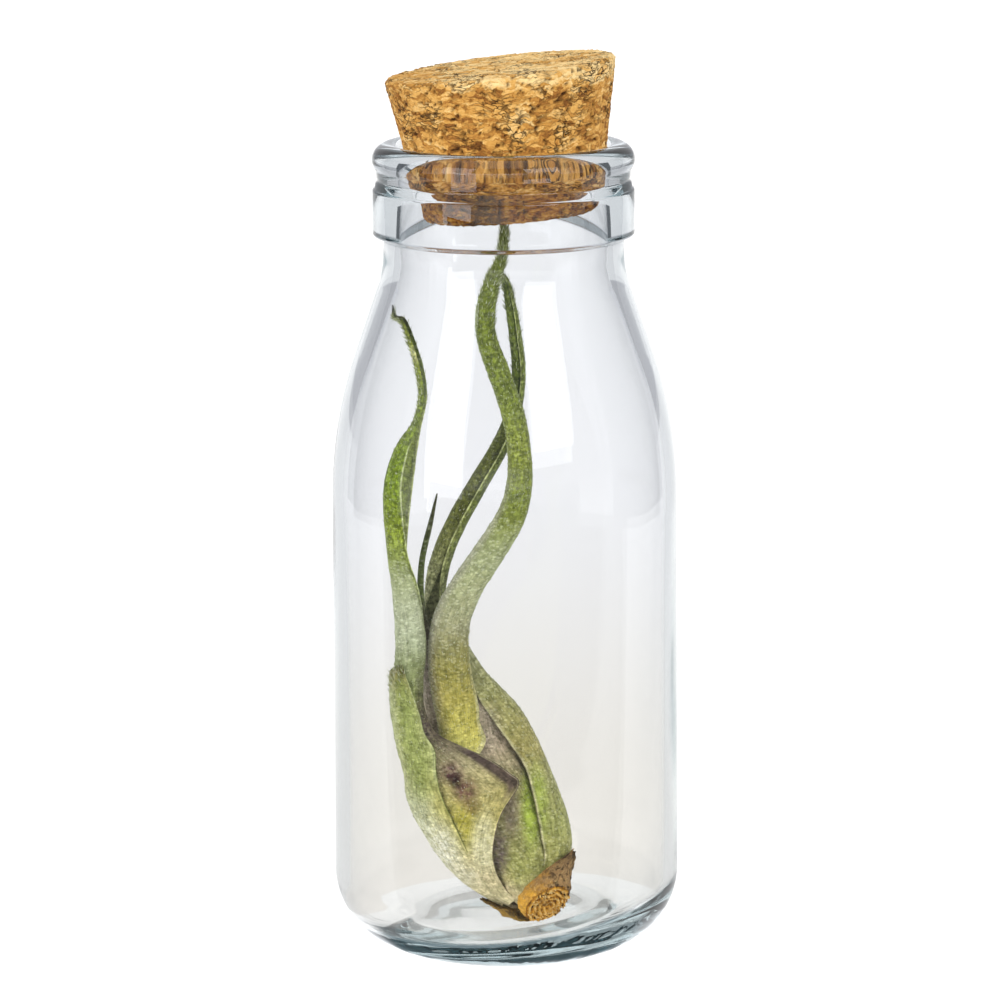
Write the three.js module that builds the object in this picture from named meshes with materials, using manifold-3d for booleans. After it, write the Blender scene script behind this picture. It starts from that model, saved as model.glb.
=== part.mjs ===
// Air plant in a corked glass bottle.
//
// A small bulbous air plant leans inside a clear milk-style bottle that a tapered
// cork closes. Millimetres, +Z up, origin at the middle of the bottle's foot.
// +X is the viewer's right and -Y is the front.

import * as THREE from 'three';
import { mergeVertices } from 'three/addons/utils/BufferGeometryUtils.js';
import Module from 'manifold-3d';

const wasm = await Module();
wasm.setup();

// ---------------------------------------------------------------- driving sizes

const BOTTLE = {
  rimTop: 132.4,          // height of the glass rim
  footRadius: 28.3,       // widest radius, just above the heel
  bodyRadius: 28.15,      // radius where the shoulder starts
  heelRadius: 12.5,       // round between the foot and the side
  footRingWidth: 2.2,     // flat ring that the bottle stands on
  pushUp: 1.2,            // how far the middle of the foot is raised
  shoulderStart: 74.3,
  shoulderRound: 75,      // large outward round of the shoulder
  neckRound: 17,          // inward round under the neck
  neckStart: 114.8,
  neckRadius: 19.5,
  neckEnd: 116.4,
  bandRadius: 21.15,      // plain band round the finish
  bandLow: 118.3,
  bandHigh: 124.7,
  bandFlare: 1,           // height over which the band's lower edge flares out
  bandRound: 0.7,         // how far the band's lower edge is eased
  grooveRadius: 20.35,    // groove between the band and the rim bead
  grooveLow: 126.2,
  grooveHigh: 127.3,
  beadRadius: 21.2,
  beadRound: 2.6,
  wall: 2.05,             // side wall
  boreRadius: 16.8,       // inside of the neck
  innerShoulderStart: 72.5,
  innerNeckRound: 14,
  boreStart: 113.5,
  lipRound: 1.4,          // how far the rim's inner edge opens
  floor: 5.7,             // height of the inside floor's middle
  padRadius: 15,          // flat middle of the inside floor
  trough: 1.5,            // how far the floor falls from there to its rim
  floorSlope: 3.6,        // degrees; the floor rises to the right
  slopeFade: 4,           // how far above the inner heel the slope still reaches
  innerHeel: 7,           // round between the inside floor and the side
  segments: 48,
};

const CUT_PAST = 0.6;     // how far a cut runs past the face that it opens

const CORK = {
  topRadius: 18.6,
  bottomRadius: 14.4,
  length: 23.5,
  edge: 0.5,              // worn edge round each end
  tilt: 4.6,              // degrees; the right side sits higher
  slant: 1.6,             // degrees; how far the top face is cut askew of the cork's axis
  top: [-0.5, 0, 144.6],  // middle of the top face
  segments: 40,
};

const STEM = {
  endRadius: 3.8,         // cut end
  coreRadius: 1.3,        // top of the core inside the bulb
  coreTop: 2.6,           // how far up the bulb's rings the core reaches
  rows: 6,
  sides: 20,
};

const LEAF_ROWS_PER_STATION = 2;
const LEAF_COLUMNS = 9;
const MARGIN_THINNING = 0.4;   // share of the wall left at a leaf's two margins

// ---------------------------------------------------------------- helpers

const radians = THREE.MathUtils.degToRad;

function material(color, roughness, metalness = 0) {
  return new THREE.MeshStandardMaterial({ color, roughness, metalness });
}

function arcPoints(cx, cz, radius, fromDeg, toDeg, steps) {
  return Array.from({ length: steps + 1 }, (_, i) => {
    const a = radians(fromDeg + ((toDeg - fromDeg) * i) / steps);
    return new THREE.Vector2(cx + radius * Math.cos(a), cz + radius * Math.sin(a));
  });
}

// A side that runs straight up, leans in over one round and stands up again over
// another: the two rounds and the straight line that touches both.
function shoulderPoints(lowRadius, highRadius, lowZ, highZ, lowRound, highRound, steps) {
  const low = new THREE.Vector2(lowRadius - lowRound, lowZ);
  const high = new THREE.Vector2(highRadius + highRound, highZ);
  const between = high.clone().sub(low);
  const reach = Math.acos((lowRound + highRound) / between.length());
  const lean = THREE.MathUtils.radToDeg(between.angle() - reach);
  return [
    ...arcPoints(low.x, low.y, lowRound, 0, lean, steps),
    ...arcPoints(high.x, high.y, highRound, 180 + lean, 180, steps),
  ];
}

// Turns a profile of (radius, height) about +Z.
function turned(profile, segments) {
  const geometry = new THREE.LatheGeometry(profile, segments);
  geometry.rotateX(Math.PI / 2);
  return geometry;
}

function solidOf(geometry) {
  const bare = geometry.clone();
  bare.deleteAttribute('normal');
  bare.deleteAttribute('uv');
  const merged = mergeVertices(bare, 1e-4);
  return new wasm.Manifold(new wasm.Mesh({
    numProp: 3,
    vertProperties: new Float32Array(merged.attributes.position.array),
    triVerts: new Uint32Array(merged.index.array),
  }));
}

function geometryOf(solid) {
  const mesh = solid.getMesh();
  const geometry = new THREE.BufferGeometry();
  geometry.setAttribute('position', new THREE.BufferAttribute(mesh.vertProperties, 3));
  geometry.setIndex(new THREE.BufferAttribute(mesh.triVerts, 1));
  geometry.computeVertexNormals();
  return geometry;
}

function named(name, geometry, finish) {
  const mesh = new THREE.Mesh(geometry, finish);
  mesh.name = name;
  return mesh;
}

// ---------------------------------------------------------------- bottle

// Outside of the bottle from the middle of the foot up to the rim's inner edge.
function bottleOutside() {
  const b = BOTTLE;
  const ringOuter = b.footRadius - b.heelRadius;
  const ringInner = ringOuter - b.footRingWidth;
  const dome = (share) => new THREE.Vector2(ringInner * share, b.pushUp * (1 - share ** 2));
  const points = [
    dome(0),
    dome(0.5),
    dome(1),
    ...arcPoints(ringOuter, b.heelRadius, b.heelRadius, -90, 0, 7),
    ...shoulderPoints(b.bodyRadius, b.neckRadius, b.shoulderStart, b.neckStart,
      b.shoulderRound, b.neckRound, 5),
  ];
  // The finish: a plain band, a groove and the rounded rim bead.
  points.push(
    new THREE.Vector2(b.neckRadius, b.neckEnd),
    new THREE.Vector2(b.bandRadius - b.bandRound, b.bandLow - b.bandFlare),
    new THREE.Vector2(b.bandRadius, b.bandLow),
    new THREE.Vector2(b.bandRadius, b.bandHigh),
    new THREE.Vector2(b.grooveRadius, b.grooveLow),
    new THREE.Vector2(b.grooveRadius, b.grooveHigh),
    ...arcPoints(b.beadRadius - b.beadRound, b.rimTop - b.beadRound, b.beadRound, -35, 90, 5),
  );
  return points;
}

function bottleInside() {
  const b = BOTTLE;
  const inner = b.bodyRadius - b.wall;
  const heelCentre = inner - b.innerHeel;
  return [
    new THREE.Vector2(0, b.floor),
    new THREE.Vector2(b.padRadius / 2, b.floor),
    new THREE.Vector2(b.padRadius, b.floor),
    new THREE.Vector2((b.padRadius + heelCentre) / 2, b.floor - b.trough / 2),
    ...arcPoints(heelCentre, b.floor - b.trough + b.innerHeel, b.innerHeel, -90, 0, 6),
    ...shoulderPoints(inner, b.boreRadius, b.innerShoulderStart, b.boreStart,
      b.shoulderRound - b.wall, b.innerNeckRound, 4),
    new THREE.Vector2(b.boreRadius, b.rimTop - b.lipRound),
    new THREE.Vector2(b.boreRadius + b.lipRound / 3, b.rimTop - b.lipRound / 3),
    new THREE.Vector2(b.boreRadius + b.lipRound, b.rimTop + CUT_PAST),
    new THREE.Vector2(0, b.rimTop + CUT_PAST),
  ];
}

// Slants the inside floor: the shear fades out over the inner heel.
function slantFloor(geometry) {
  const b = BOTTLE;
  const position = geometry.attributes.position;
  const fadeTop = b.floor + b.innerHeel + b.slopeFade;
  for (let i = 0; i < position.count; i += 1) {
    const z = position.getZ(i);
    const share = 1 - THREE.MathUtils.smoothstep(z, b.floor, fadeTop);
    position.setZ(i, z + share * Math.tan(radians(b.floorSlope)) * position.getX(i));
  }
  return geometry;
}

function glassBottle() {
  const rim = new THREE.Vector2(0, BOTTLE.rimTop);
  const outside = turned([...bottleOutside(), rim], BOTTLE.segments);
  const inside = slantFloor(turned(bottleInside(), BOTTLE.segments));
  const solid = solidOf(outside).subtract(solidOf(inside));
  return named('glass_bottle', geometryOf(solid), material(0xdfe9ea, 0.05));
}

// ---------------------------------------------------------------- cork

function corkStopper() {
  const c = CORK;
  const profile = [
    new THREE.Vector2(0, -c.length),
    new THREE.Vector2(c.bottomRadius - c.edge, -c.length),
    new THREE.Vector2(c.bottomRadius, c.edge - c.length),
    new THREE.Vector2(c.topRadius, -c.edge),
    new THREE.Vector2(c.topRadius - c.edge, 0),
    new THREE.Vector2(0, 0),
  ];
  const geometry = turned(profile, c.segments);
  const position = geometry.attributes.position;
  for (let i = 0; i < position.count; i += 1) {
    const share = 1 + position.getZ(i) / c.length;
    position.setZ(i, position.getZ(i) + share * Math.tan(radians(c.slant)) * position.getX(i));
  }
  const cork = named('cork_stopper', geometry, material(0xc08a4a, 0.85));
  cork.position.set(...c.top);
  cork.rotation.y = -radians(c.tilt);
  return cork;
}

// ---------------------------------------------------------------- the bulb's rings

// The bulb is described by rings along its leaning axis: middle, radius, and the
// ring plane's lean to the right and to the back, in degrees.
const BULB_RINGS = [
  { at: [6.5, -14.5, 9.9], radius: 4.0, lean: -38, back: 52 },
  { at: [4.5, -11.8, 12.4], radius: 6.7, lean: -32, back: 34 },
  { at: [2.5, -10.3, 15.6], radius: 9.1, lean: -28, back: 20 },
  { at: [0.0, -9.2, 19.6], radius: 10.8, lean: -27, back: 14 },
  { at: [-3.3, -7.8, 26.2], radius: 11.5, lean: -26, back: 10 },
  { at: [-6.2, -6.9, 32.2], radius: 10.9, lean: -24, back: 7 },
  { at: [-8.3, -6.3, 38.0], radius: 9.5, lean: -20, back: 5 },
  { at: [-10.3, -5.9, 43.4], radius: 7.9, lean: -16, back: 4 },
  { at: [-11.6, -5.6, 49.5], radius: 6.0, lean: -10, back: 3 },
];
const BULB_DEPTH = 0.86;   // front-to-back size as a share of the width

const bulbAxis = new THREE.CatmullRomCurve3(
  BULB_RINGS.map((ring) => new THREE.Vector3(...ring.at)), false, 'catmullrom', 0.5);
const bulbShape = new THREE.CatmullRomCurve3(
  BULB_RINGS.map((ring) => new THREE.Vector3(ring.radius, ring.lean, ring.back)),
  false, 'catmullrom', 0.5);

// A leaf's section on a bulb ring. level counts rings from the base, inset is how
// deep its outer face lies under the bulb's surface, and shift moves it sideways,
// towards the angle shiftTo. Angles go from the front (0) towards the right (90).
function sheath(level, { inset, from, to, wall, shift = 0, shiftTo = 0, ridge = 0 }) {
  const t = level / (BULB_RINGS.length - 1);
  const shape = bulbShape.getPoint(t);
  const frame = sectionFrame(shape.y, shape.z);
  const centre = bulbAxis.getPoint(t)
    .addScaledVector(frame.right, shift * Math.sin(radians(shiftTo)))
    .addScaledVector(frame.front, shift * Math.cos(radians(shiftTo)) * BULB_DEPTH);
  return {
    at: centre, radius: shape.x - inset, from, to, wall,
    lean: shape.y, back: shape.z, depth: BULB_DEPTH, ridge,
  };
}

// A rolled blade's section: a part of a tube about its own middle.
function blade(at, radius, from, to, wall, lean = 0, back = 0) {
  return {
    at: new THREE.Vector3(...at), radius, from, to, wall, lean, back, depth: 1, ridge: 0,
  };
}

function sectionFrame(leanDeg, backDeg) {
  const up = new THREE.Vector3(
    Math.tan(radians(leanDeg)), Math.tan(radians(backDeg)), 1).normalize();
  const front = new THREE.Vector3(0, -1, 0);
  front.addScaledVector(up, -front.dot(up)).normalize();
  return { up, front, right: new THREE.Vector3().crossVectors(up, front) };
}

// ---------------------------------------------------------------- leaves

const RIDGE_ANGLE = -62;   // where the left leaf's keel stands out of its sheath
const RIDGE_WIDTH = 26;

// A leaf is one closed shell swept through its sections: an outer and an inner face
// joined round both margins and both ends.
function leafGeometry(sections) {
  const pack = (pick) => new THREE.CatmullRomCurve3(
    sections.map((s) => new THREE.Vector3(...pick(s))), false, 'catmullrom', 0.5);
  const centres = pack((s) => s.at.toArray());
  const spans = pack((s) => [s.radius, s.from, s.to]);
  const planes = pack((s) => [s.wall, s.lean, s.back]);
  const extras = pack((s) => [s.depth, s.ridge, 0]);
  const rows = (sections.length - 1) * LEAF_ROWS_PER_STATION;
  const columns = LEAF_COLUMNS;
  const positions = [];
  for (const side of ['outer', 'inner']) {
    for (let row = 0; row <= rows; row += 1) {
      const t = row / rows;
      const centre = centres.getPoint(t);
      const [radius, from, to] = spans.getPoint(t).toArray();
      const [wall, lean, back] = planes.getPoint(t).toArray();
      const [depth, ridge] = extras.getPoint(t).toArray();
      const frame = sectionFrame(lean, back);
      for (let column = 0; column <= columns; column += 1) {
        const across = column / columns;
        const angle = from + (to - from) * across;
        const keel = ridge * Math.exp(-(((angle - RIDGE_ANGLE) / RIDGE_WIDTH) ** 2));
        const edge = Math.abs(2 * across - 1) ** 3;
        const thickness = wall * (1 - (1 - MARGIN_THINNING) * edge);
        const reach = radius + keel - (side === 'inner' ? thickness : 0);
        const point = centre.clone()
          .addScaledVector(frame.right, reach * Math.sin(radians(angle)))
          .addScaledVector(frame.front, reach * Math.cos(radians(angle)) * depth);
        positions.push(point.x, point.y, point.z);
      }
    }
  }
  const outer = (row, column) => row * (columns + 1) + column;
  const inner = (row, column) => (rows + 1) * (columns + 1) + outer(row, column);
  const index = [];
  const quad = (a, b, c, d) => index.push(a, b, c, a, c, d);
  for (let row = 0; row < rows; row += 1) {
    for (let column = 0; column < columns; column += 1) {
      quad(outer(row, column), outer(row, column + 1),
        outer(row + 1, column + 1), outer(row + 1, column));
      quad(inner(row, column), inner(row + 1, column),
        inner(row + 1, column + 1), inner(row, column + 1));
    }
    quad(outer(row, 0), outer(row + 1, 0), inner(row + 1, 0), inner(row, 0));
    quad(outer(row + 1, columns), outer(row, columns), inner(row, columns), inner(row + 1, columns));
  }
  for (let column = 0; column < columns; column += 1) {
    quad(outer(0, column + 1), outer(0, column), inner(0, column), inner(0, column + 1));
    quad(outer(rows, column), outer(rows, column + 1), inner(rows, column + 1), inner(rows, column));
  }
  const geometry = new THREE.BufferGeometry();
  geometry.setAttribute('position', new THREE.Float32BufferAttribute(positions, 3));
  geometry.setIndex(index);
  geometry.computeVertexNormals();
  return geometry;
}

// Left leaf: its sheath is the big front wrap of the bulb, whose free right margin
// flares to a corner; its blade climbs the left side as a channel open to the right
// and ends in a thin dry tip against the glass.
function leafLeft() {
  const wrap = { inset: 0.8, wall: 0.9 };
  return leafGeometry([
    sheath(0.7, { inset: 0.5, wall: 0.6, from: -150, to: -60 }),
    sheath(1.1, { inset: 0.6, wall: 0.8, from: -148, to: -54 }),
    sheath(1.6, { ...wrap, from: -146, to: -42 }),
    sheath(2.2, { ...wrap, from: -144, to: -28 }),
    sheath(3.0, { ...wrap, from: -142, to: -9 }),
    sheath(3.6, { ...wrap, from: -142, to: 12, ridge: 0.2 }),
    sheath(4.0, { ...wrap, from: -142, to: 36, ridge: 0.4 }),
    sheath(4.3, { ...wrap, from: -142, to: 34, ridge: 0.6 }),
    sheath(4.7, { ...wrap, from: -140, to: 27, ridge: 0.7 }),
    blade([-8.4, -8.6, 33.4], 7.8, -138, 31, 0.9, -20, 5),
    blade([-11.2, -9.7, 35.6], 5.5, -138, 36, 0.9, -15, 4),
    blade([-13.7, -10.3, 37.8], 3.4, -140, 46, 0.9, -10, 4),
    blade([-15.1, -10.1, 41.2], 2.5, -145, 72, 0.9, -4, 3),
    blade([-15.4, -9.7, 46.0], 2.45, -155, 76, 0.9, -2, 2),
    blade([-15.1, -9.2, 52.0], 2.5, -170, 90, 0.85, -2, 2),
    blade([-15.8, -8.8, 60.5], 2.25, -190, 76, 0.8, -6, 2),
    blade([-16.9, -8.4, 67.5], 2.0, -220, 44, 0.75, -8, 2),
    blade([-17.0, -8.0, 77.0], 2.4, -255, 17, 0.7, 4, 3),
    blade([-15.6, -7.4, 83.5], 1.9, -255, 8, 0.6, 26, 4),
    blade([-13.9, -6.8, 87.8], 0.9, -240, 8, 0.4, 20, 5),
    blade([-12.9, -6.2, 92.0], 0.78, -230, 10, 0.35, 0, 6),
    blade([-13.3, -5.6, 96.0], 0.8, -230, 10, 0.35, -16, 8),
    blade([-14.5, -5.0, 100.5], 0.68, -230, 10, 0.3, -24, 8),
    blade([-15.9, -4.4, 104.1], 0.58, -230, 10, 0.25, -40, 8),
    blade([-17.3, -3.4, 104.7], 0.34, -230, 10, 0.2, -50, 4),
    blade([-17.7, -3.0, 106.5], 0.15, -230, 10, 0.1, -14, 4),
  ]);
}

// Back leaf: its sheath wraps the back and the right side of the bulb; its blade
// rolls into an almost closed tube with its slit to the front, crosses behind the
// main leaf and ends beside the main leaf's tip.
function leafBack() {
  const wrap = { inset: 1.6, shift: 1.6, shiftTo: 100, wall: 0.8 };
  return leafGeometry([
    sheath(0.65, { inset: 1.0, shift: 0.3, shiftTo: 100, wall: 0.5, from: 22, to: 226 }),
    sheath(0.95, { inset: 1.15, shift: 0.6, shiftTo: 100, wall: 0.6, from: 23, to: 230 }),
    sheath(1.3, { inset: 1.3, shift: 1.1, shiftTo: 100, wall: 0.7, from: 25, to: 236 }),
    sheath(1.8, { ...wrap, from: 28, to: 242 }),
    sheath(2.5, { ...wrap, from: 32, to: 244 }),
    sheath(3.3, { ...wrap, from: 40, to: 244 }),
    sheath(4.2, { ...wrap, shift: 1.8, from: 48, to: 244 }),
    sheath(5.0, { ...wrap, inset: 1.4, shift: 2.2, from: 44, to: 240 }),
    sheath(5.8, { ...wrap, inset: 1.3, shift: 2.3, from: 40, to: 238 }),
    sheath(6.6, { ...wrap, inset: 1.4, shift: 2.0, from: 42, to: 238 }),
    sheath(7.3, { ...wrap, from: 56, to: 245 }),
    blade([-10.6, -3.4, 51.5], 3.6, 52, 262, 0.8, -10, 4),
    blade([-11.4, -2.4, 57.0], 1.9, 30, 300, 0.75, 0, 4),
    blade([-10.6, -2.0, 63.5], 1.75, 20, 335, 0.7, 14, 4),
    blade([-7.9, -1.5, 70.5], 1.7, 15, 342, 0.7, 27, 4),
    blade([-4.4, -1.0, 76.8], 1.6, 15, 342, 0.65, 31, 5),
    blade([-0.9, -0.4, 82.8], 1.45, 15, 342, 0.6, 27, 5),
    blade([1.4, 0.2, 88.5], 1.3, 20, 340, 0.55, 14, 5),
    blade([2.3, 0.8, 94.5], 1.1, 20, 340, 0.5, 0, 5),
    blade([1.7, 1.3, 100.5], 0.95, 20, 340, 0.45, -10, 4),
    blade([1.1, 1.6, 105.3], 0.9, 20, 340, 0.4, -10, 3),
    blade([0.4, 1.8, 108.7], 0.75, 20, 340, 0.3, -34, 3),
    blade([-0.7, 1.9, 110.3], 0.5, 20, 340, 0.22, -62, 2),
    blade([-1.8, 1.9, 110.7], 0.2, 20, 340, 0.12, -78, 2),
  ]);
}

// Main leaf: its sheath hides under the left leaf's wrap; the blade is convex to
// the front and winds up in one long S to the cork.
function leafMain() {
  const wrap = { inset: 2.1, wall: 0.7 };
  return leafGeometry([
    sheath(1.9, { ...wrap, from: -100, to: -42 }),
    sheath(2.6, { ...wrap, from: -90, to: -32 }),
    sheath(3.4, { ...wrap, from: -76, to: -14 }),
    sheath(4.2, { ...wrap, from: -60, to: 6 }),
    sheath(4.9, { ...wrap, inset: 2.5, from: -46, to: 18 }),
    blade([-7.4, -8.7, 37.2], 3.9, -70, 70, 0.8, -10, 6),
    blade([-8.0, -8.6, 41.5], 3.6, -84, 84, 0.8, -6, 5),
    blade([-8.9, -8.4, 46.5], 3.4, -95, 92, 0.8, -5, 4),
    blade([-9.2, -7.9, 52.0], 3.2, -105, 100, 0.8, 4, 4),
    blade([-8.3, -7.5, 56.7], 2.95, -115, 108, 0.8, 24, 4),
    blade([-6.1, -7.1, 61.2], 2.6, -120, 112, 0.8, 34, 4),
    blade([-3.4, -6.7, 65.3], 2.5, -120, 115, 0.8, 36, 4),
    blade([-0.9, -6.3, 69.2], 2.4, -120, 118, 0.75, 32, 4),
    blade([1.2, -5.9, 73.2], 2.25, -122, 120, 0.75, 22, 4),
    blade([2.3, -5.5, 77.6], 2.1, -122, 122, 0.7, 8, 5),
    blade([2.4, -5.0, 82.0], 1.95, -122, 122, 0.7, -2, 5),
    blade([1.8, -4.4, 87.0], 1.9, -122, 122, 0.65, -14, 6),
    blade([0.4, -3.7, 92.0], 1.8, -122, 122, 0.65, -20, 6),
    blade([-1.4, -3.1, 96.8], 1.75, -122, 122, 0.6, -22, 6),
    blade([-2.9, -2.6, 101.4], 1.6, -122, 122, 0.6, -12, 5),
    blade([-2.9, -2.2, 105.8], 1.55, -122, 122, 0.5, 12, 4),
    blade([-1.8, -1.9, 110.0], 1.3, -122, 122, 0.4, 16, 3),
    blade([-0.6, -1.7, 113.6], 1.0, -122, 122, 0.3, 12, 2),
    blade([-0.05, -1.6, 117.2], 0.75, -122, 122, 0.25, 6, 1),
    blade([0.1, -1.5, 120.0], 0.35, -122, 122, 0.12, 2, 1),
  ]);
}

// Inner leaf: the purplish sheath seen between the main leaf, the front wrap and
// the back leaf; its blade is a short thin spike beside the back leaf.
function leafInner() {
  const wrap = { inset: 3.5, shift: 0.7, shiftTo: 60, wall: 0.6 };
  return leafGeometry([
    sheath(1.1, { inset: 2.1, shift: 0.2, shiftTo: 60, wall: 0.5, from: -56, to: 110 }),
    sheath(1.6, { inset: 2.8, shift: 0.5, shiftTo: 60, wall: 0.55, from: -60, to: 112 }),
    sheath(2.2, { ...wrap, inset: 3.3, from: -64, to: 112 }),
    sheath(3.0, { ...wrap, from: -70, to: 112 }),
    sheath(4.0, { ...wrap, from: -74, to: 112 }),
    sheath(4.7, { ...wrap, from: -76, to: 110 }),
    blade([-7.0, -4.5, 35.2], 6.3, -84, 110, 0.6, -22, 6),
    blade([-8.6, -4.2, 40.0], 4.9, -95, 115, 0.6, -20, 5),
    blade([-10.4, -4.3, 44.6], 3.1, -105, 115, 0.6, -18, 4),
    blade([-12.0, -4.3, 49.5], 1.7, -110, 110, 0.55, -14, 3),
    blade([-13.1, -4.5, 54.0], 0.9, -110, 100, 0.45, -10, 2),
    blade([-13.6, -4.6, 58.5], 0.6, -110, 100, 0.35, -2, 2),
    blade([-13.4, -4.4, 64.5], 0.5, -110, 100, 0.3, 10, 3),
    blade([-12.1, -4.0, 70.5], 0.38, -110, 100, 0.22, 14, 4),
    blade([-10.9, -3.6, 75.2], 0.14, -110, 100, 0.08, 12, 4),
  ]);
}

// Short outer leaf: it clasps the left side of the bulb outside the left leaf, and
// its point lies on the left leaf's blade.
function leafShort() {
  const wrap = { inset: -0.1, wall: 0.5 };
  return leafGeometry([
    sheath(0.9, { inset: 0, wall: 0.4, from: -146, to: -72 }),
    sheath(1.6, { ...wrap, from: -146, to: -56 }),
    sheath(2.4, { ...wrap, from: -146, to: -44 }),
    sheath(3.2, { ...wrap, from: -144, to: -34 }),
    sheath(4.0, { ...wrap, from: -142, to: -29, ridge: 0.4 }),
    sheath(4.7, { ...wrap, from: -138, to: -27, ridge: 0.7 }),
    blade([-8.4, -8.6, 33.4], 8.6, -136, -18, 0.45, -20, 5),
    blade([-11.2, -9.7, 35.6], 6.3, -134, 0, 0.45, -15, 4),
    blade([-13.7, -10.3, 37.8], 4.2, -132, 14, 0.45, -10, 4),
    blade([-15.1, -10.1, 41.2], 3.3, -126, 26, 0.45, -4, 3),
    blade([-15.35, -9.9, 44.5], 3.2, -112, 12, 0.4, -3, 2),
    blade([-15.4, -9.6, 47.4], 3.15, -88, -6, 0.3, -2, 2),
    blade([-15.3, -9.4, 49.2], 3.1, -32, -20, 0.18, -2, 2),
  ]);
}

// ---------------------------------------------------------------- stem and scales

// The stem's core: the brown cut end of the plant and the cone inside the bulb that
// the sheaths grow on.
function stemGeometry() {
  const { rows, sides } = STEM;
  const middles = [];
  const positions = [];
  for (let row = 0; row <= rows; row += 1) {
    const share = row / rows;
    const section = sheath(STEM.coreTop * share, { inset: 0, from: 0, to: 360, wall: 1 });
    const radius = THREE.MathUtils.lerp(STEM.endRadius, STEM.coreRadius, share);
    const frame = sectionFrame(section.lean, section.back);
    middles.push(section.at);
    for (let side = 0; side < sides; side += 1) {
      const angle = (2 * Math.PI * side) / sides;
      const point = section.at.clone()
        .addScaledVector(frame.right, radius * Math.sin(angle))
        .addScaledVector(frame.front, radius * Math.cos(angle));
      positions.push(point.x, point.y, point.z);
    }
  }
  const index = [];
  for (let row = 0; row < rows; row += 1) {
    for (let side = 0; side < sides; side += 1) {
      const next = (side + 1) % sides;
      const a = row * sides + side;
      const b = row * sides + next;
      index.push(a, b, b + sides, a, b + sides, a + sides);
    }
  }
  const end = positions.length / 3;
  positions.push(...middles[0].toArray(), ...middles[rows].toArray());
  for (let side = 0; side < sides; side += 1) {
    const next = (side + 1) % sides;
    index.push(end, next, side);
    index.push(end + 1, rows * sides + side, rows * sides + next);
  }
  const geometry = new THREE.BufferGeometry();
  geometry.setAttribute('position', new THREE.Float32BufferAttribute(positions, 3));
  geometry.setIndex(index);
  geometry.computeVertexNormals();
  return geometry;
}

// Dry remains of old leaves, torn off short round the base.
function scaleRight() {
  const torn = { inset: -0.9, wall: 0.5 };
  return leafGeometry([
    sheath(0.05, { ...torn, inset: -0.9, from: -62, to: 128 }),
    sheath(0.4, { ...torn, inset: -0.7, from: -34, to: 122 }),
    sheath(0.75, { ...torn, inset: -0.5, from: 10, to: 116 }),
    sheath(1.1, { ...torn, inset: -0.6, from: 48, to: 108 }),
    sheath(1.4, { ...torn, wall: 0.3, from: 76, to: 94 }),
  ]);
}

function scaleLeft() {
  const torn = { inset: -0.95, wall: 0.45 };
  return leafGeometry([
    sheath(0.15, { ...torn, inset: -0.8, from: -156, to: -66 }),
    sheath(0.5, { ...torn, inset: -0.8, from: -148, to: -68 }),
    sheath(0.9, { ...torn, from: -136, to: -72 }),
    sheath(1.3, { ...torn, from: -120, to: -78 }),
    sheath(1.6, { ...torn, wall: 0.3, from: -102, to: -92 }),
  ]);
}

// ---------------------------------------------------------------- assembly

const group = new THREE.Group();
group.add(
  glassBottle(),
  corkStopper(),
  named('stem_stub', stemGeometry(), material(0xa8702c, 0.9)),
  named('leaf_left', leafLeft(), material(0x8aa05a, 0.75)),
  named('leaf_back', leafBack(), material(0x6d7f42, 0.75)),
  named('leaf_main', leafMain(), material(0x8fa64e, 0.75)),
  named('leaf_inner', leafInner(), material(0x7d7360, 0.8)),
  named('leaf_short', leafShort(), material(0x8ea066, 0.8)),
  named('dry_scale_right', scaleRight(), material(0x9a6a30, 0.9)),
  named('dry_scale_left', scaleLeft(), material(0x6b5232, 0.9)),
);

export default group;
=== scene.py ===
"""Air plant in a corked glass bottle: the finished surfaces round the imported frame.

Lengths are written in millimetres and brought to Blender's metres by MM. +X is the
viewer's right, -Y is the front and +Z is up, as in the frame.
"""
import logging
import math
import random
from dataclasses import dataclass, field
from enum import Enum
from typing import Any, Callable, Sequence

import bmesh
import bpy
import numpy as np
from mathutils import Matrix, Vector, noise


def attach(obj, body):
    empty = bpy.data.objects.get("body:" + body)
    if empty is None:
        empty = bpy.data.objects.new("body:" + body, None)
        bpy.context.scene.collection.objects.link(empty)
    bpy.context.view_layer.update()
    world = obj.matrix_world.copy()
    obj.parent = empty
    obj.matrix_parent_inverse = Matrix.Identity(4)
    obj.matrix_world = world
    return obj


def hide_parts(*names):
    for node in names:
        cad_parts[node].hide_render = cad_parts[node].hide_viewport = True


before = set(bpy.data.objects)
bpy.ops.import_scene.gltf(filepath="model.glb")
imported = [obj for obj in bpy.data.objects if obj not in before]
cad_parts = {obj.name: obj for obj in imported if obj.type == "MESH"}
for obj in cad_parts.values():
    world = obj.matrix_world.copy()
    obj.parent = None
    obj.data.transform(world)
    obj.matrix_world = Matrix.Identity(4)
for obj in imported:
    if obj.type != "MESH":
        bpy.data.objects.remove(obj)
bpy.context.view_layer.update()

MM = 0.001
BODY = "root"
DISC_SIDES = 96
QUARTERS = (0.25, 0.5, 0.75)
FIFTHS = (0.2, 0.4, 0.6, 0.8)
LOG = logging.getLogger("air_plant")

Colour = tuple[float, float, float, float]
Pair = tuple[float, float]
Point = tuple[float, float, float]
Socket = bpy.types.NodeSocket


def paint(code: str) -> Colour:
    """Turns a hex colour such as #8FA64E into the linear colour that nodes use.

    Args:
        code: The colour as # and six hex digits.

    Returns:
        Red, green, blue and an alpha of 1.
    """
    shares = [int(code[i:i + 2], 16) / 255 for i in (1, 3, 5)]
    red, green, blue = (s / 12.92 if s <= 0.04045 else ((s + 0.055) / 1.055) ** 2.4
                        for s in shares)
    return red, green, blue, 1.0


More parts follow.
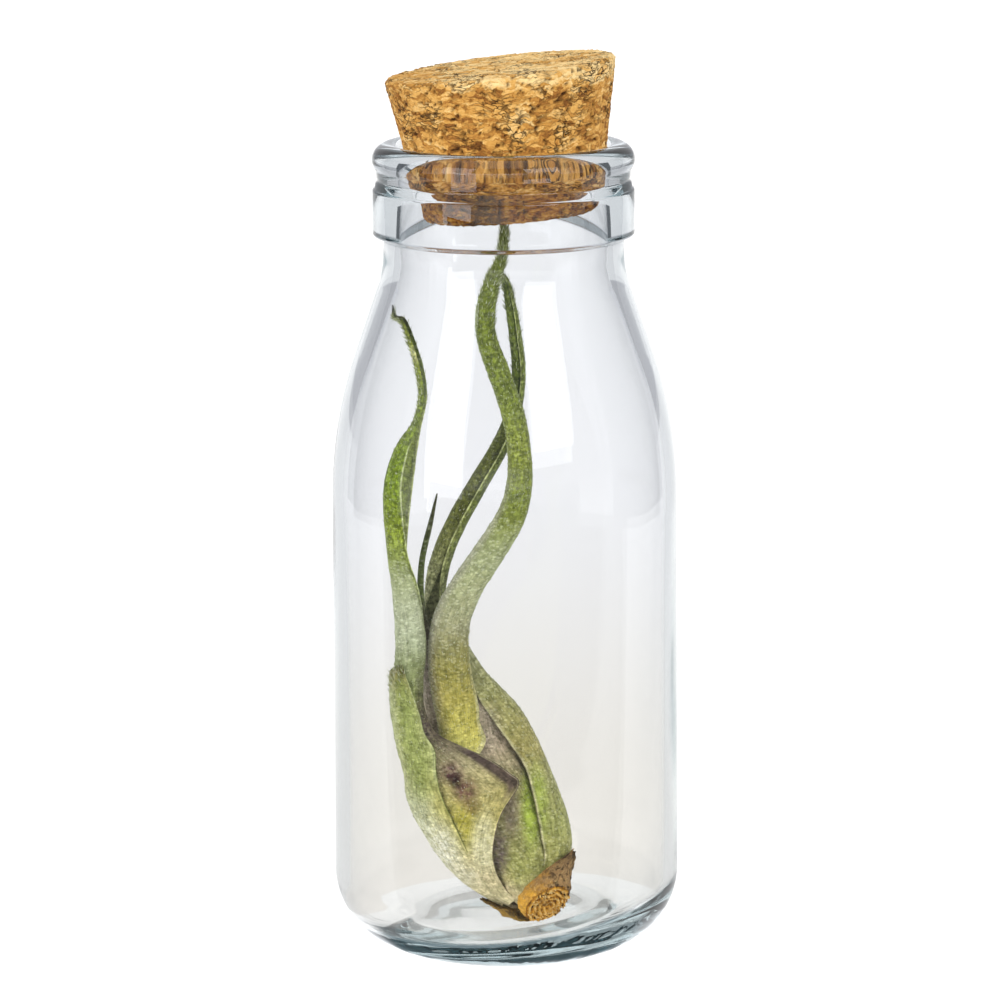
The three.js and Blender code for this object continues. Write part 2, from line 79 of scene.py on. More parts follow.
def smooth_step(low: float, high: float, value: float) -> float:
    """Rises smoothly from 0 where a value is at low to 1 where it is at high."""
    share = min(max((value - low) / (high - low), 0.0), 1.0)
    return share * share * (3 - 2 * share)


# ---------------------------------------------------------------- shading


class Nodes:
    """The node tree of a material or a world, with short calls that add and join nodes."""

    def __init__(self, owner: bpy.types.Material | bpy.types.World) -> None:
        """Empties the tree.

        Args:
            owner: The material or the world that it belongs to.
        """
        owner.use_nodes = True
        self.tree = owner.node_tree
        self.tree.nodes.clear()

    def node(self, kind: str, inputs: dict[Any, Any] | None = None,
             **settings: Any) -> bpy.types.Node:
        """Adds one node.

        Args:
            kind: The node's type name, without the word ShaderNode.
            inputs: A value or an output socket for each input name or number.
            **settings: Attributes of the node itself.

        Returns:
            The new node.
        """
        made = self.tree.nodes.new("ShaderNode" + kind)
        for name, value in settings.items():
            setattr(made, name, value)
        for name, value in (inputs or {}).items():
            self.feed(made.inputs[name], value)
        return made

    def feed(self, socket: Socket, value: Any) -> None:
        """Links an output to an input, or sets the input's own value.

        Args:
            socket: The input.
            value: An output socket, or a number, a vector or a colour.
        """
        if isinstance(value, bpy.types.NodeSocket):
            self.tree.links.new(value, socket)
        else:
            socket.default_value = value

    def math(self, operation: str, first: Any, second: Any = 0.0) -> Socket:
        """One step of arithmetic on two values or sockets."""
        return self.node("Math", {0: first, 1: second}, operation=operation).outputs[0]

    def times(self, first: Any, second: Any) -> Socket:
        """The product of two values or sockets."""
        return self.math("MULTIPLY", first, second)

    def plus(self, first: Any, second: Any) -> Socket:
        """The sum of two values or sockets."""
        return self.math("ADD", first, second)

    def most(self, first: Any, second: Any) -> Socket:
        """The greater of two values or sockets."""
        return self.math("MAXIMUM", first, second)

    def swing(self, value: Socket, reach: float) -> Socket:
        """Turns a share from 0 to 1 into a value that swings round 0, reach wide."""
        return self.times(self.math("SUBTRACT", value, 0.5), reach)

    def split(self, vector: Socket) -> Any:
        """A vector's X, Y and Z outputs."""
        return self.node("SeparateXYZ", {"Vector": vector}).outputs

    def channels(self, colour: Socket) -> Any:
        """A colour's Red, Green and Blue outputs."""
        return self.node("SeparateColor", {"Color": colour}).outputs

    def spread(self, value: Socket, low: float, high: float, to_low: float = 0.0,
               to_high: float = 1.0) -> Socket:
        """Brings a value from low and high to to_low and to_high along a smooth step."""
        ends = {"Value": value, "From Min": low, "From Max": high, "To Min": to_low,
                "To Max": to_high}
        return self.node("MapRange", ends, interpolation_type="SMOOTHSTEP").outputs["Result"]

    def mix(self, share: Any, low: Any, high: Any, blend: str = "MIX") -> Socket:
        """Blends two colours, with the share of the second that shows."""
        return self.node("Mix", {0: share, 6: low, 7: high}, data_type="RGBA", blend_type=blend,
                         clamp_factor=True).outputs[2]

    def ramp(self, value: Socket, stops: Sequence[tuple[float, Colour]]) -> Socket:
        """Turns a value into colours.

        Args:
            value: A share from 0 to 1.
            stops: The share and colour of each stop, in order.

        Returns:
            The colour.
        """
        made = self.node("ValToRGB", {"Fac": value})
        elements = made.color_ramp.elements
        elements.remove(elements[1])
        elements[0].position, elements[0].color = stops[0]
        for share, colour in stops[1:]:
            elements.new(share).color = colour
        return made.outputs["Color"]


class Shading(Nodes):
    """One material: its Principled shader and the patterns on the piece's own coordinates."""

    def __init__(self, name: str) -> None:
        """Starts a material with a Principled shader.

        Args:
            name: The material's name.
        """
        self.material = bpy.data.materials.new(name)
        super().__init__(self.material)
        self.shader = self.node("BsdfPrincipled")
        self.output = self.node("OutputMaterial", {"Surface": self.shader.outputs["BSDF"]})
        self.place = self.node("TexCoord").outputs["Object"]

    def surface(self, **values: Any) -> None:
        """Sets the shader's inputs, with underscores for the spaces in their names."""
        for name, value in values.items():
            self.feed(self.shader.inputs[name.replace("_", " ")], value)

    def uv(self, name: str) -> Socket:
        """The piece's own UV map."""
        return self.node("UVMap", uv_map=name).outputs["UV"]

    def attribute(self, name: str) -> Socket:
        """A number that the mesh holds for each vertex."""
        return self.node("Attribute", attribute_name=name).outputs["Fac"]

    def vector(self, operation: str, first: Any, second: Any) -> Socket:
        """One step of arithmetic on two vectors."""
        return self.node("VectorMath", {0: first, 1: second}, operation=operation).outputs[0]

    def length(self, vector: Socket) -> Socket:
        """A vector's length."""
        return self.node("VectorMath", {0: vector}, operation="LENGTH").outputs["Value"]

    def stretched(self, vector: Socket, scale: Point, turn: Point = (0, 0, 0)) -> Socket:
        """Scales coordinates by factors along the axes and turns them, in radians."""
        inputs = {"Vector": vector, "Scale": scale, "Rotation": turn}
        return self.node("Mapping", inputs).outputs["Vector"]

    def warped(self, vector: Socket, scale: float, amount: float) -> Socket:
        """Bends coordinates by a soft noise.

        Args:
            vector: The coordinates.
            scale: Size of the bends, as waves per unit.
            amount: How far they reach, in the same unit.

        Returns:
            The bent coordinates.
        """
        wave = self.node("TexNoise", {"Vector": vector, "Scale": scale, "Detail": 2.0})
        centred = self.vector("SUBTRACT", wave.outputs["Color"], (0.5, 0.5, 0.5))
        sized = self.node("VectorMath", {0: centred, "Scale": amount}, operation="SCALE")
        return self.vector("ADD", vector, sized.outputs[0])

    def grain(self, vector: Socket, scale: float, detail: float = 3.0, rough: float = 0.55,
              twist: float = 0.0) -> Socket:
        """A noise from 0 to 1, with scale in waves per unit and detail in finer layers."""
        inputs = {"Vector": vector, "Scale": scale, "Detail": detail, "Roughness": rough,
                  "Distortion": twist}
        return self.node("TexNoise", inputs).outputs["Fac"]

    def cells(self, vector: Socket, scale: float, feature: str = "F1") -> Any:
        """The outputs of a pattern of cells, with scale in cells per unit."""
        return self.node("TexVoronoi", {"Vector": vector, "Scale": scale}, feature=feature).outputs

    def relief(self, height: Socket, depth: float) -> Socket:
        """A normal bumped by a height from 0 to 1, which stands for depth in metres."""
        inputs = {"Height": height, "Distance": depth, "Strength": 1.0}
        return self.node("Bump", inputs).outputs["Normal"]

    def mirrored(self) -> Socket:
        """1 for light that the glass has mirrored on its way, and 0 for light straight through."""
        return self.math("MINIMUM", self.node("LightPath").outputs["Glossy Depth"], 1.0)

    def near(self, at: Point, radii: Point) -> Socket:
        """A soft spot: 1 at its middle and 0 from its rim on.

        Args:
            at: The middle in millimetres.
            radii: The spot's reach along the three axes in millimetres.

        Returns:
            The share.
        """
        away = self.vector("SUBTRACT", self.place, tuple(c * MM for c in at))
        scaled = self.vector("DIVIDE", away, tuple(r * MM for r in radii))
        return self.spread(self.length(scaled), 0.25, 1.0, 1.0, 0.0)


# ---------------------------------------------------------------- finishes


@dataclass(frozen=True)
class GlassFinish:
    """Clear pressed glass with a faint blue-green body colour and a soft mould texture."""

    name: str = "clear_glass"
    low_painted_shade: str = "#F1EFEC"
    tint_high: str = "#F5F5F7"
    painted_shade_heights: Pair = (20.0, 80.0)
    depth_tint: str = "#84AEB6"
    depth_density: float = 20.0
    refraction: float = 1.5
    mould_scale: float = 90.0
    mould_depth: float = 0.00002

    def make(self) -> bpy.types.Material:
        """Builds the material.

        Returns:
            The glass.
        """
        s = Shading(self.name)
        waves = s.grain(s.stretched(s.place, (1, 1, 0.3)), self.mould_scale, 1.0, 0.4)
        # Painted shade: the glass is a little greyer low down, fading out between the two heights.
        share = s.spread(s.split(s.place)["Z"], *(height * MM for height in self.painted_shade_heights))
        s.surface(Base_Color=s.mix(share, paint(self.low_painted_shade), paint(self.tint_high)),
                  Roughness=0.0, IOR=self.refraction, Transmission_Weight=1.0,
                  Normal=s.relief(waves, self.mould_depth))
        depth = s.node("VolumeAbsorption",
                       {"Color": paint(self.depth_tint), "Density": self.depth_density})
        s.feed(s.output.inputs["Volume"], depth.outputs["Volume"])
        return s.material


@dataclass(frozen=True)
class CorkFinish:
    """Pressed cork: flaky granules of several tans, dark pits, and painted shade below the rim."""

    name: str = "pressed_cork"
    tones: tuple[tuple[float, str], ...] = (
        (0.18, "#5A3416"), (0.34, "#95622A"), (0.48, "#BC8840"), (0.62, "#D2A157"),
        (0.82, "#EBCB8E"))
    gap: str = "#22110A"
    low_shade_tone: str = "#AE9444"
    low_patch_tone: str = "#3E3020"
    granules: float = 330.0
    flakes: float = 1250.0
    flake_stretch: Point = (0.5, 0.5, 1.5)
    flake_turn: Point = (0.12, 0.1, 0)
    weights: Point = (0.2, 0.3, 0.5)
    low_shade_heights: Pair = (122.0, 133.0)
    low_lump_contrast: float = 2.2
    pale_heights: Pair = (142.0, 144.4)
    pale_gain: float = 0.24
    low_patch_at: Point = (-2.6, -14.5, 122.2)
    low_patch_radii: Point = (4.4, 14.0, 5.0)
    roughness: Pair = (0.75, 0.95)
    relief: float = 0.00035

    def make(self) -> bpy.types.Material:
        """Builds the material. The mesh's own pits darken it through their attribute.

        Returns:
            The cork.
        """
        s = Shading(self.name)
        bent = s.warped(s.warped(s.place, 210.0, 0.0034), 1300.0, 0.0009)
        flat = s.stretched(bent, self.flake_stretch, self.flake_turn)
        granule = s.channels(s.cells(s.stretched(bent, (1, 1, 1.7)), self.granules)["Color"])
        flake = s.channels(s.cells(flat, self.flakes)["Color"])
        seam = s.cells(flat, self.flakes, "DISTANCE_TO_EDGE")["Distance"]
        grit = s.grain(s.stretched(s.place, (1, 1, 2.2)), 2300.0, 4.0, 0.7, 0.6)
        lumps = s.grain(s.stretched(s.place, (1, 1, 1.8)), 900.0, 4.0, 0.75)
        height = s.split(s.place)["Z"]
        shaded_low = s.spread(height, *(h * MM for h in self.low_shade_heights), 1.0, 0.0)
        on_top = s.spread(height, *(h * MM for h in self.pale_heights))
        first, second, third = (s.times(part, weight) for part, weight in zip(
            (granule["Red"], flake["Red"], grit), self.weights))
        value = s.plus(first, s.plus(second, third))
        value = s.plus(value, s.times(on_top, self.pale_gain))
        value = s.plus(value, s.times(shaded_low, s.swing(lumps, self.low_lump_contrast)))
        colour = s.ramp(value, [(share, paint(code)) for share, code in self.tones])
        worn = s.spread(s.grain(s.place, 170.0, 3.0, 0.6), 0.40, 0.64)
        torn = s.times(s.spread(flake["Green"], 0.20, 0.65), worn)
        crack = s.times(s.spread(seam, 0.03, 0.16, 1.0, 0.0), torn)
        slanting = s.stretched(bent, (1, 1, 2.6), (0, 0.4, 0))
        slits = s.spread(s.grain(slanting, 800.0, 3.0, 0.62), 0.6, 0.66)
        slits = s.times(slits, s.plus(s.times(worn, 0.7), 0.3))
        dark = s.most(s.most(slits, crack), s.attribute("pit"))
        colour = s.mix(s.times(dark, 0.92), colour, paint(self.gap))
        # Painted shade: the cork is darkened below the rim, where the bottle's neck shades it.
        colour = s.mix(s.times(shaded_low, 0.9), colour, paint(self.low_shade_tone), "MULTIPLY")
        # A darker patch low on the front of the cork.
        low_patch = s.times(s.near(self.low_patch_at, self.low_patch_radii),
                        s.spread(lumps, 0.38, 0.62, 0.95, 0.4))
        colour = s.mix(low_patch, colour, paint(self.low_patch_tone))
        height = s.plus(s.times(flake["Blue"], 0.5), s.times(grit, 0.6))
        height = s.math("SUBTRACT", height, s.times(dark, 0.9))
        s.surface(Base_Color=colour, Roughness=s.spread(grit, 0.2, 0.8, *self.roughness),
                  Specular_IOR_Level=0.15, Normal=s.relief(height, self.relief))
        return s.material


@dataclass(frozen=True)
class Spot:
    """A soft patch of another colour on a leaf, in millimetres."""

    at: Point
    radii: Point
    colour: str
    strength: float = 1.0


@dataclass(frozen=True)
class Band:
    """A soft strip of another colour, between two shares of a leaf's width and length."""

    across: Pair
    along: Pair
    colour: str
    strength: float = 1.0
    soft: float = 0.05


@dataclass(frozen=True)
class LeafFinish:
    """Living leaf under silvery scales. Its colour follows the height on the plant."""

    name: str
    heights: tuple[tuple[float, str], ...]
    spots: tuple[Spot, ...] = ()
    bands: tuple[Band, ...] = ()
    silver: str = "#D6DAC6"
    shade: str = "#6C7340"
    sheen: str = "#DDE3CF"
    lit_gain: Colour = (2.0, 1.95, 1.8, 1)
    frost: float = 0.5
    veins: float = 22.0
    crisp: float = 0.025
    grains: float = 2300.0
    flecks: float = 1700.0
    bare_heights: Pair = (46.0, 62.0)
    drift: float = 0.1
    wander: float = 0.07
    top: float = 125.0
    roughness: Pair = (0.6, 0.85)
    relief: float = 0.0002

    def patches(self, s: Shading, colour: Socket) -> Socket:
        """Lays the spots and the bands over a colour.

        Args:
            s: The leaf's node tree.
            colour: The colour below them.

        Returns:
            The colour with them.
        """
        torn = s.spread(s.grain(s.place, 1100.0, 4.0, 0.7), 0.2, 0.62, 0.3, 1.0)
        for spot in self.spots:
            share = s.times(s.near(spot.at, spot.radii), torn)
            colour = s.mix(s.times(share, spot.strength), colour, paint(spot.colour))
        shares = s.split(s.uv("leaf"))
        drifting = s.plus(shares["X"], s.swing(s.grain(s.place, 420.0, 3.0), self.drift))
        for band in self.bands:
            crisp = band.soft < self.crisp
            share = 1.0 if crisp else s.most(torn, 0.75)
            across = shares["X"] if crisp else drifting
            for value, ends in ((across, band.across), (shares["Y"], band.along)):
                for end, side in zip(ends, (-1, 1)):
                    inside = s.spread(value, end + side * band.soft, end - side * band.soft)
                    share = s.times(share, inside)
            colour = s.mix(s.times(share, band.strength), colour, paint(band.colour))
        return colour

    def make(self) -> bpy.types.Material:
        """Builds the material from the leaf's own UV map and its place on the plant.

        Returns:
            The leaf surface.
        """
        s = Shading(self.name)
        shade, silver = paint(self.shade), paint(self.silver)
        height = s.split(s.place)["Z"]
        wander = s.swing(s.grain(s.place, 160.0), self.wander)
        level = s.plus(s.math("DIVIDE", height, self.top * MM), wander)
        colour = s.ramp(level, [(h / self.top, paint(code)) for h, code in self.heights])
        colour = self.patches(s, colour)
        fibre = s.grain(s.stretched(s.uv("leaf"), (self.veins, 5.0, 1.0)), 3.0, 3.0, 0.6)
        mottle = s.grain(s.place, 900.0, 5.0, 0.7)
        colour = s.mix(s.spread(fibre, 0.38, 0.66, 0.0, 0.38), colour, shade, "MULTIPLY")
        colour = s.mix(s.spread(mottle, 0.42, 0.6, 0.0, 0.42), colour, shade, "MULTIPLY")
        cover = s.times(s.attribute("frost"), self.frost)
        specks = s.grain(s.stretched(s.place, (1.2, 1.2, 0.8)), self.flecks, 2.0, 0.6)
        bare = s.times(s.spread(cover, 0.1, 0.75, 1.0, 0.0),
                       s.spread(height, *(h * MM for h in self.bare_heights)))
        colour = s.mix(bare, colour, s.spread(specks, 0.36, 0.64, 0.62, 1.4), "MULTIPLY")
        bent = s.warped(s.stretched(s.place, (0.75, 0.75, 1.25)), 1500.0, 0.0003)
        scales = s.cells(bent, self.grains)
        chosen = s.channels(scales["Color"])
        dot = s.spread(scales["Distance"], 0.36, 0.72, 1.0, 0.0)
        dull = s.times(dot, s.spread(chosen["Green"], 0.3, 0.9))
        dull = s.times(dull, s.spread(cover, 0.3, 0.7, 0.4, 0.2))
        colour = s.mix(dull, colour, shade, "MULTIPLY")
        lit = s.mix(s.times(cover, 0.8), s.mix(1.0, colour, self.lit_gain, "MULTIPLY"), silver)
        bright = s.times(dot, s.spread(chosen["Red"], 0.35, 0.9))
        bright = s.times(bright, s.plus(s.times(cover, 0.45), 0.35))
        halo = s.times(s.spread(cover, 0.4, 0.75), s.spread(mottle, 0.3, 0.7, 0.24, 0.1))
        colour = s.mix(bright, s.mix(halo, colour, silver), lit)
        height = s.plus(s.times(bright, 0.8), s.times(fibre, 0.4))
        s.surface(Base_Color=colour, Roughness=s.spread(mottle, 0.3, 0.7, *self.roughness),
                  Specular_IOR_Level=0.15, Sheen_Weight=0.22, Sheen_Roughness=0.4,
                  Sheen_Tint=paint(self.sheen), Normal=s.relief(height, self.relief))
        return s.material


@dataclass(frozen=True)
class BristleFinish:
    """The tiny silvery scales that stand out of a living leaf."""

    name: str
    dark: str = "#5A6430"
    middle: str = "#9CA566"
    silver: str = "#D0D4BC"
    roughness: float = 0.7

    def make(self) -> bpy.types.Material:
        """Builds the material from each scale's own tone.

        Returns:
            The scales' surface.
        """
        s = Shading(self.name)
        tone = s.plus(s.attribute("tone"), s.swing(s.grain(s.place, 400.0), 0.6))
        colour = s.ramp(tone, [(0.1, paint(self.dark)), (0.5, paint(self.middle)),
                               (1.0, paint(self.silver))])
        s.surface(Base_Color=colour, Roughness=self.roughness, Specular_IOR_Level=0.15)
        return s.material


@dataclass(frozen=True)
class DryFinish:
    """Dry torn leaf base: papery, fibrous, golden low down and dark at its torn edge."""

    name: str
    low: str = "#EAB244"
    middle: str = "#BE9048"
    high: str = "#A88658"
    edge: str = "#1E100A"
    pale: str = "#E8CF8C"
    brown_heights: Pair = (10.0, 15.0)
    gold_end: float = 4.5
    brown_start: float = 8.5
    mottling: float = 2.2
    roughness: Pair = (0.65, 0.95)
    relief: float = 0.0004

    def make(self) -> bpy.types.Material:
        """Builds the material.

        Returns:
            The dry surface.
        """
        s = Shading(self.name)
        fibre = s.grain(s.stretched(s.uv("leaf"), (12.0, 3.0, 1.0)), 3.0, 4.0, 0.7, 1.2)
        mottle = s.grain(s.place, 700.0, 5.0, 0.7)
        place, shares = s.split(s.place), s.split(s.uv("leaf"))
        browned = s.spread(place["X"], self.gold_end * MM, self.brown_start * MM)
        raised = s.spread(place["Z"], *(height * MM for height in self.brown_heights))
        level = s.plus(s.times(browned, 0.6), s.times(raised, 0.4))
        level = s.plus(level, s.swing(mottle, self.mottling))
        colour = s.ramp(level, [(0.0, paint(self.low)), (0.4, paint(self.middle)),
                                (0.8, paint(self.high))])
        torn = s.most(s.spread(shares["Y"], 0.7, 1.0), s.spread(shares["X"], 0.8, 0.98))
        torn = s.times(torn, s.spread(mottle, 0.35, 0.55, 0.4, 1.0))
        flecks = s.spread(s.grain(s.place, 1100.0, 4.0, 0.7, 0.8), 0.49, 0.6, 0.0, 0.85)
        flecks = s.times(flecks, s.plus(s.times(browned, 0.7), 0.3))
        dark = s.most(s.times(torn, 0.9), s.most(flecks, s.spread(fibre, 0.56, 0.7, 0.0, 0.5)))
        colour = s.mix(dark, colour, paint(self.edge))
        colour = s.mix(s.times(s.spread(fibre, 0.42, 0.34), 0.6), colour, paint(self.pale))
        s.surface(Base_Color=colour, Roughness=s.spread(fibre, 0.2, 0.8, *self.roughness),
                  Specular_IOR_Level=0.2, Normal=s.relief(s.plus(fibre, mottle), self.relief))
        return s.material


@dataclass(frozen=True)
class StubFinish:
    """The orange-brown cut stem, whose fibres carry their own tone."""

    name: str = "stem_fibres"
    tones: tuple[tuple[float, str], ...] = (
        (0.22, "#1C0F08"), (0.38, "#8A5814"), (0.55, "#D69C2C"), (0.82, "#F6DC98"))
    shade: str = "#5A3412"
    base: float = 0.03
    roughness: Pair = (0.6, 0.95)
    relief: float = 0.0003

    def make(self) -> bpy.types.Material:
        """Builds the material.

        Returns:
            The stem's surface.
        """
        s = Shading(self.name)
        mottle = s.grain(s.place, 1400.0, 5.0, 0.75)
        ringed = s.plus(s.times(s.attribute("fibre"), 0.28), self.base)
        value = s.plus(s.times(mottle, 0.75), ringed)
        colour = s.ramp(value, [(share, paint(code)) for share, code in self.tones])
        patches = s.spread(s.grain(s.place, 320.0, 3.0), 0.5, 0.62, 0.0, 0.45)
        colour = s.mix(patches, colour, paint(self.shade), "MULTIPLY")
        s.surface(Base_Color=colour, Roughness=s.spread(mottle, 0.2, 0.8, *self.roughness),
                  Specular_IOR_Level=0.3, Normal=s.relief(mottle, self.relief))
        return s.material


@dataclass(frozen=True)
class FloorFinish:
    """Matte white studio floor."""

    name: str = "studio_floor"
    whites: tuple[str, str] = ("#F6F6F6", "#F3F3F4")
    glow: float = 0.08

    def make(self) -> bpy.types.Material:
        """Builds the material.

        Returns:
            The floor surface.
        """
        s = Shading(self.name)
        colour = s.mix(s.grain(s.place, 3.0, 2.0), *(paint(white) for white in self.whites))
        s.surface(Base_Color=colour, Roughness=0.95, Specular_IOR_Level=0.0,
                  Emission_Color=(1, 1, 1, 1), Emission_Strength=self.glow)
        return s.material


# ---------------------------------------------------------------- making pieces


def arc(centre: Pair, radius: float, start: float, end: float, steps: int) -> list[Pair]:
    """(radius, height) points on an arc round a centre, between two angles in degrees."""
    angles = [math.radians(start + (end - start) * i / steps) for i in range(steps + 1)]
    return [(centre[0] + radius * math.cos(a), centre[1] + radius * math.sin(a)) for a in angles]


def shoulder(low: Pair, high: Pair, low_round: float, high_round: float,
             steps: int) -> list[Pair]:
    """An upright side that leans in over one round and stands up over another.

    Args:
        low: Radius and height where the side starts to lean.
        high: Radius and height where it stands up again.
        low_round: Outward round at the start.
        high_round: Inward round at the end.
        steps: Number of steps in each round.

    Returns:
        (radius, height) points.
    """
    first = (low[0] - low_round, low[1])
    second = (high[0] + high_round, high[1])
    across, rise = second[0] - first[0], second[1] - first[1]
    reach = math.acos((low_round + high_round) / math.hypot(across, rise))
    lean = math.degrees(math.atan2(rise, across) - reach)
    return arc(first, low_round, 0, lean, steps) + arc(second, high_round, 180 + lean, 180, steps)


def turned(profile: Sequence[Pair], steps: int) -> bmesh.types.BMesh:
    """Turns an open profile, whose two ends lie on the axis, into a closed body.

    Args:
        profile: (radius, height) points in millimetres.
        steps: Number of steps round the axis.

    Returns:
        The closed body in metres, with each vertex's number in the profile as "station".
    """
    body = bmesh.new()
    station = body.verts.layers.int.new("station")
    ring = [body.verts.new((radius * MM, 0, height * MM)) for radius, height in profile]
    for number, vert in enumerate(ring):
        vert[station] = number
    edges = [body.edges.new(pair) for pair in zip(ring, ring[1:])]
    bmesh.ops.spin(body, geom=ring + edges, cent=(0, 0, 0), axis=(0, 0, 1), dvec=(0, 0, 0),
                   angle=math.tau, steps=steps, use_merge=True, use_normal_flip=False,
                   use_duplicate=False)
    bmesh.ops.remove_doubles(body, verts=body.verts, dist=1e-6)
    bmesh.ops.recalc_face_normals(body, faces=body.faces)
    return body


def spike(body: bmesh.types.BMesh, layer: Any, middle: Vector, way: Vector, length: float,
          radii: Pair, sides: int, shade: float, fan: bool = False) -> None:
    """Adds a thin closed cone, in millimetres.

    Args:
        body: The mesh that it joins.
        layer: The vertex layer that holds its shade.
        middle: Its middle.
        way: The direction of its point.
        length: Its length.
        radii: Its radius at the foot and at the point.
        sides: Number of its sides.
        shade: The number that its vertices get.
        fan: Whether its ends are fans of triangles.
    """
    turn = way.to_track_quat("Z", "Y").to_matrix().to_4x4()
    made = bmesh.ops.create_cone(
        body, cap_ends=True, cap_tris=fan, segments=sides, radius1=radii[0] * MM,
        radius2=radii[1] * MM, depth=length * MM, matrix=Matrix.Translation(middle * MM) @ turn)
    for vert in made["verts"]:
        vert[layer] = shade


def placed(name: str, body: bmesh.types.BMesh,
           materials: Sequence[bpy.types.Material]) -> bpy.types.Object:
    """Puts a mesh into the scene as an object at the origin.

    Args:
        name: The object's name.
        body: The mesh, in metres, which is freed.
        materials: Its materials, in face order.

    Returns:
        The object.
    """
    mesh = bpy.data.meshes.new(name)
    body.to_mesh(mesh)
    body.free()
    for material in materials:
        mesh.materials.append(material)
    made = bpy.data.objects.new(name, mesh)
    bpy.context.scene.collection.objects.link(made)
    return made


def finished(name: str, body: bmesh.types.BMesh, slot: str, nodes: Sequence[str],
             materials: Sequence[bpy.types.Material]) -> bpy.types.Object:
    """Makes a piece of the object from its mesh and puts it on the plant's body.

    Args:
        name: The piece's name.
        body: The mesh, in metres, which is freed.
        slot: The record's material slot; not used.
        nodes: The frame's nodes that it stands for.
        materials: Its materials, in face order.

    Returns:
        The piece.
    """
    piece = placed(name, body, materials)
    piece.data.shade_smooth()
    if nodes:
        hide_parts(*nodes)
    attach(piece, BODY)
    LOG.info("%s: %d faces", name, len(piece.data.polygons))
    return piece


# ---------------------------------------------------------------- bottle


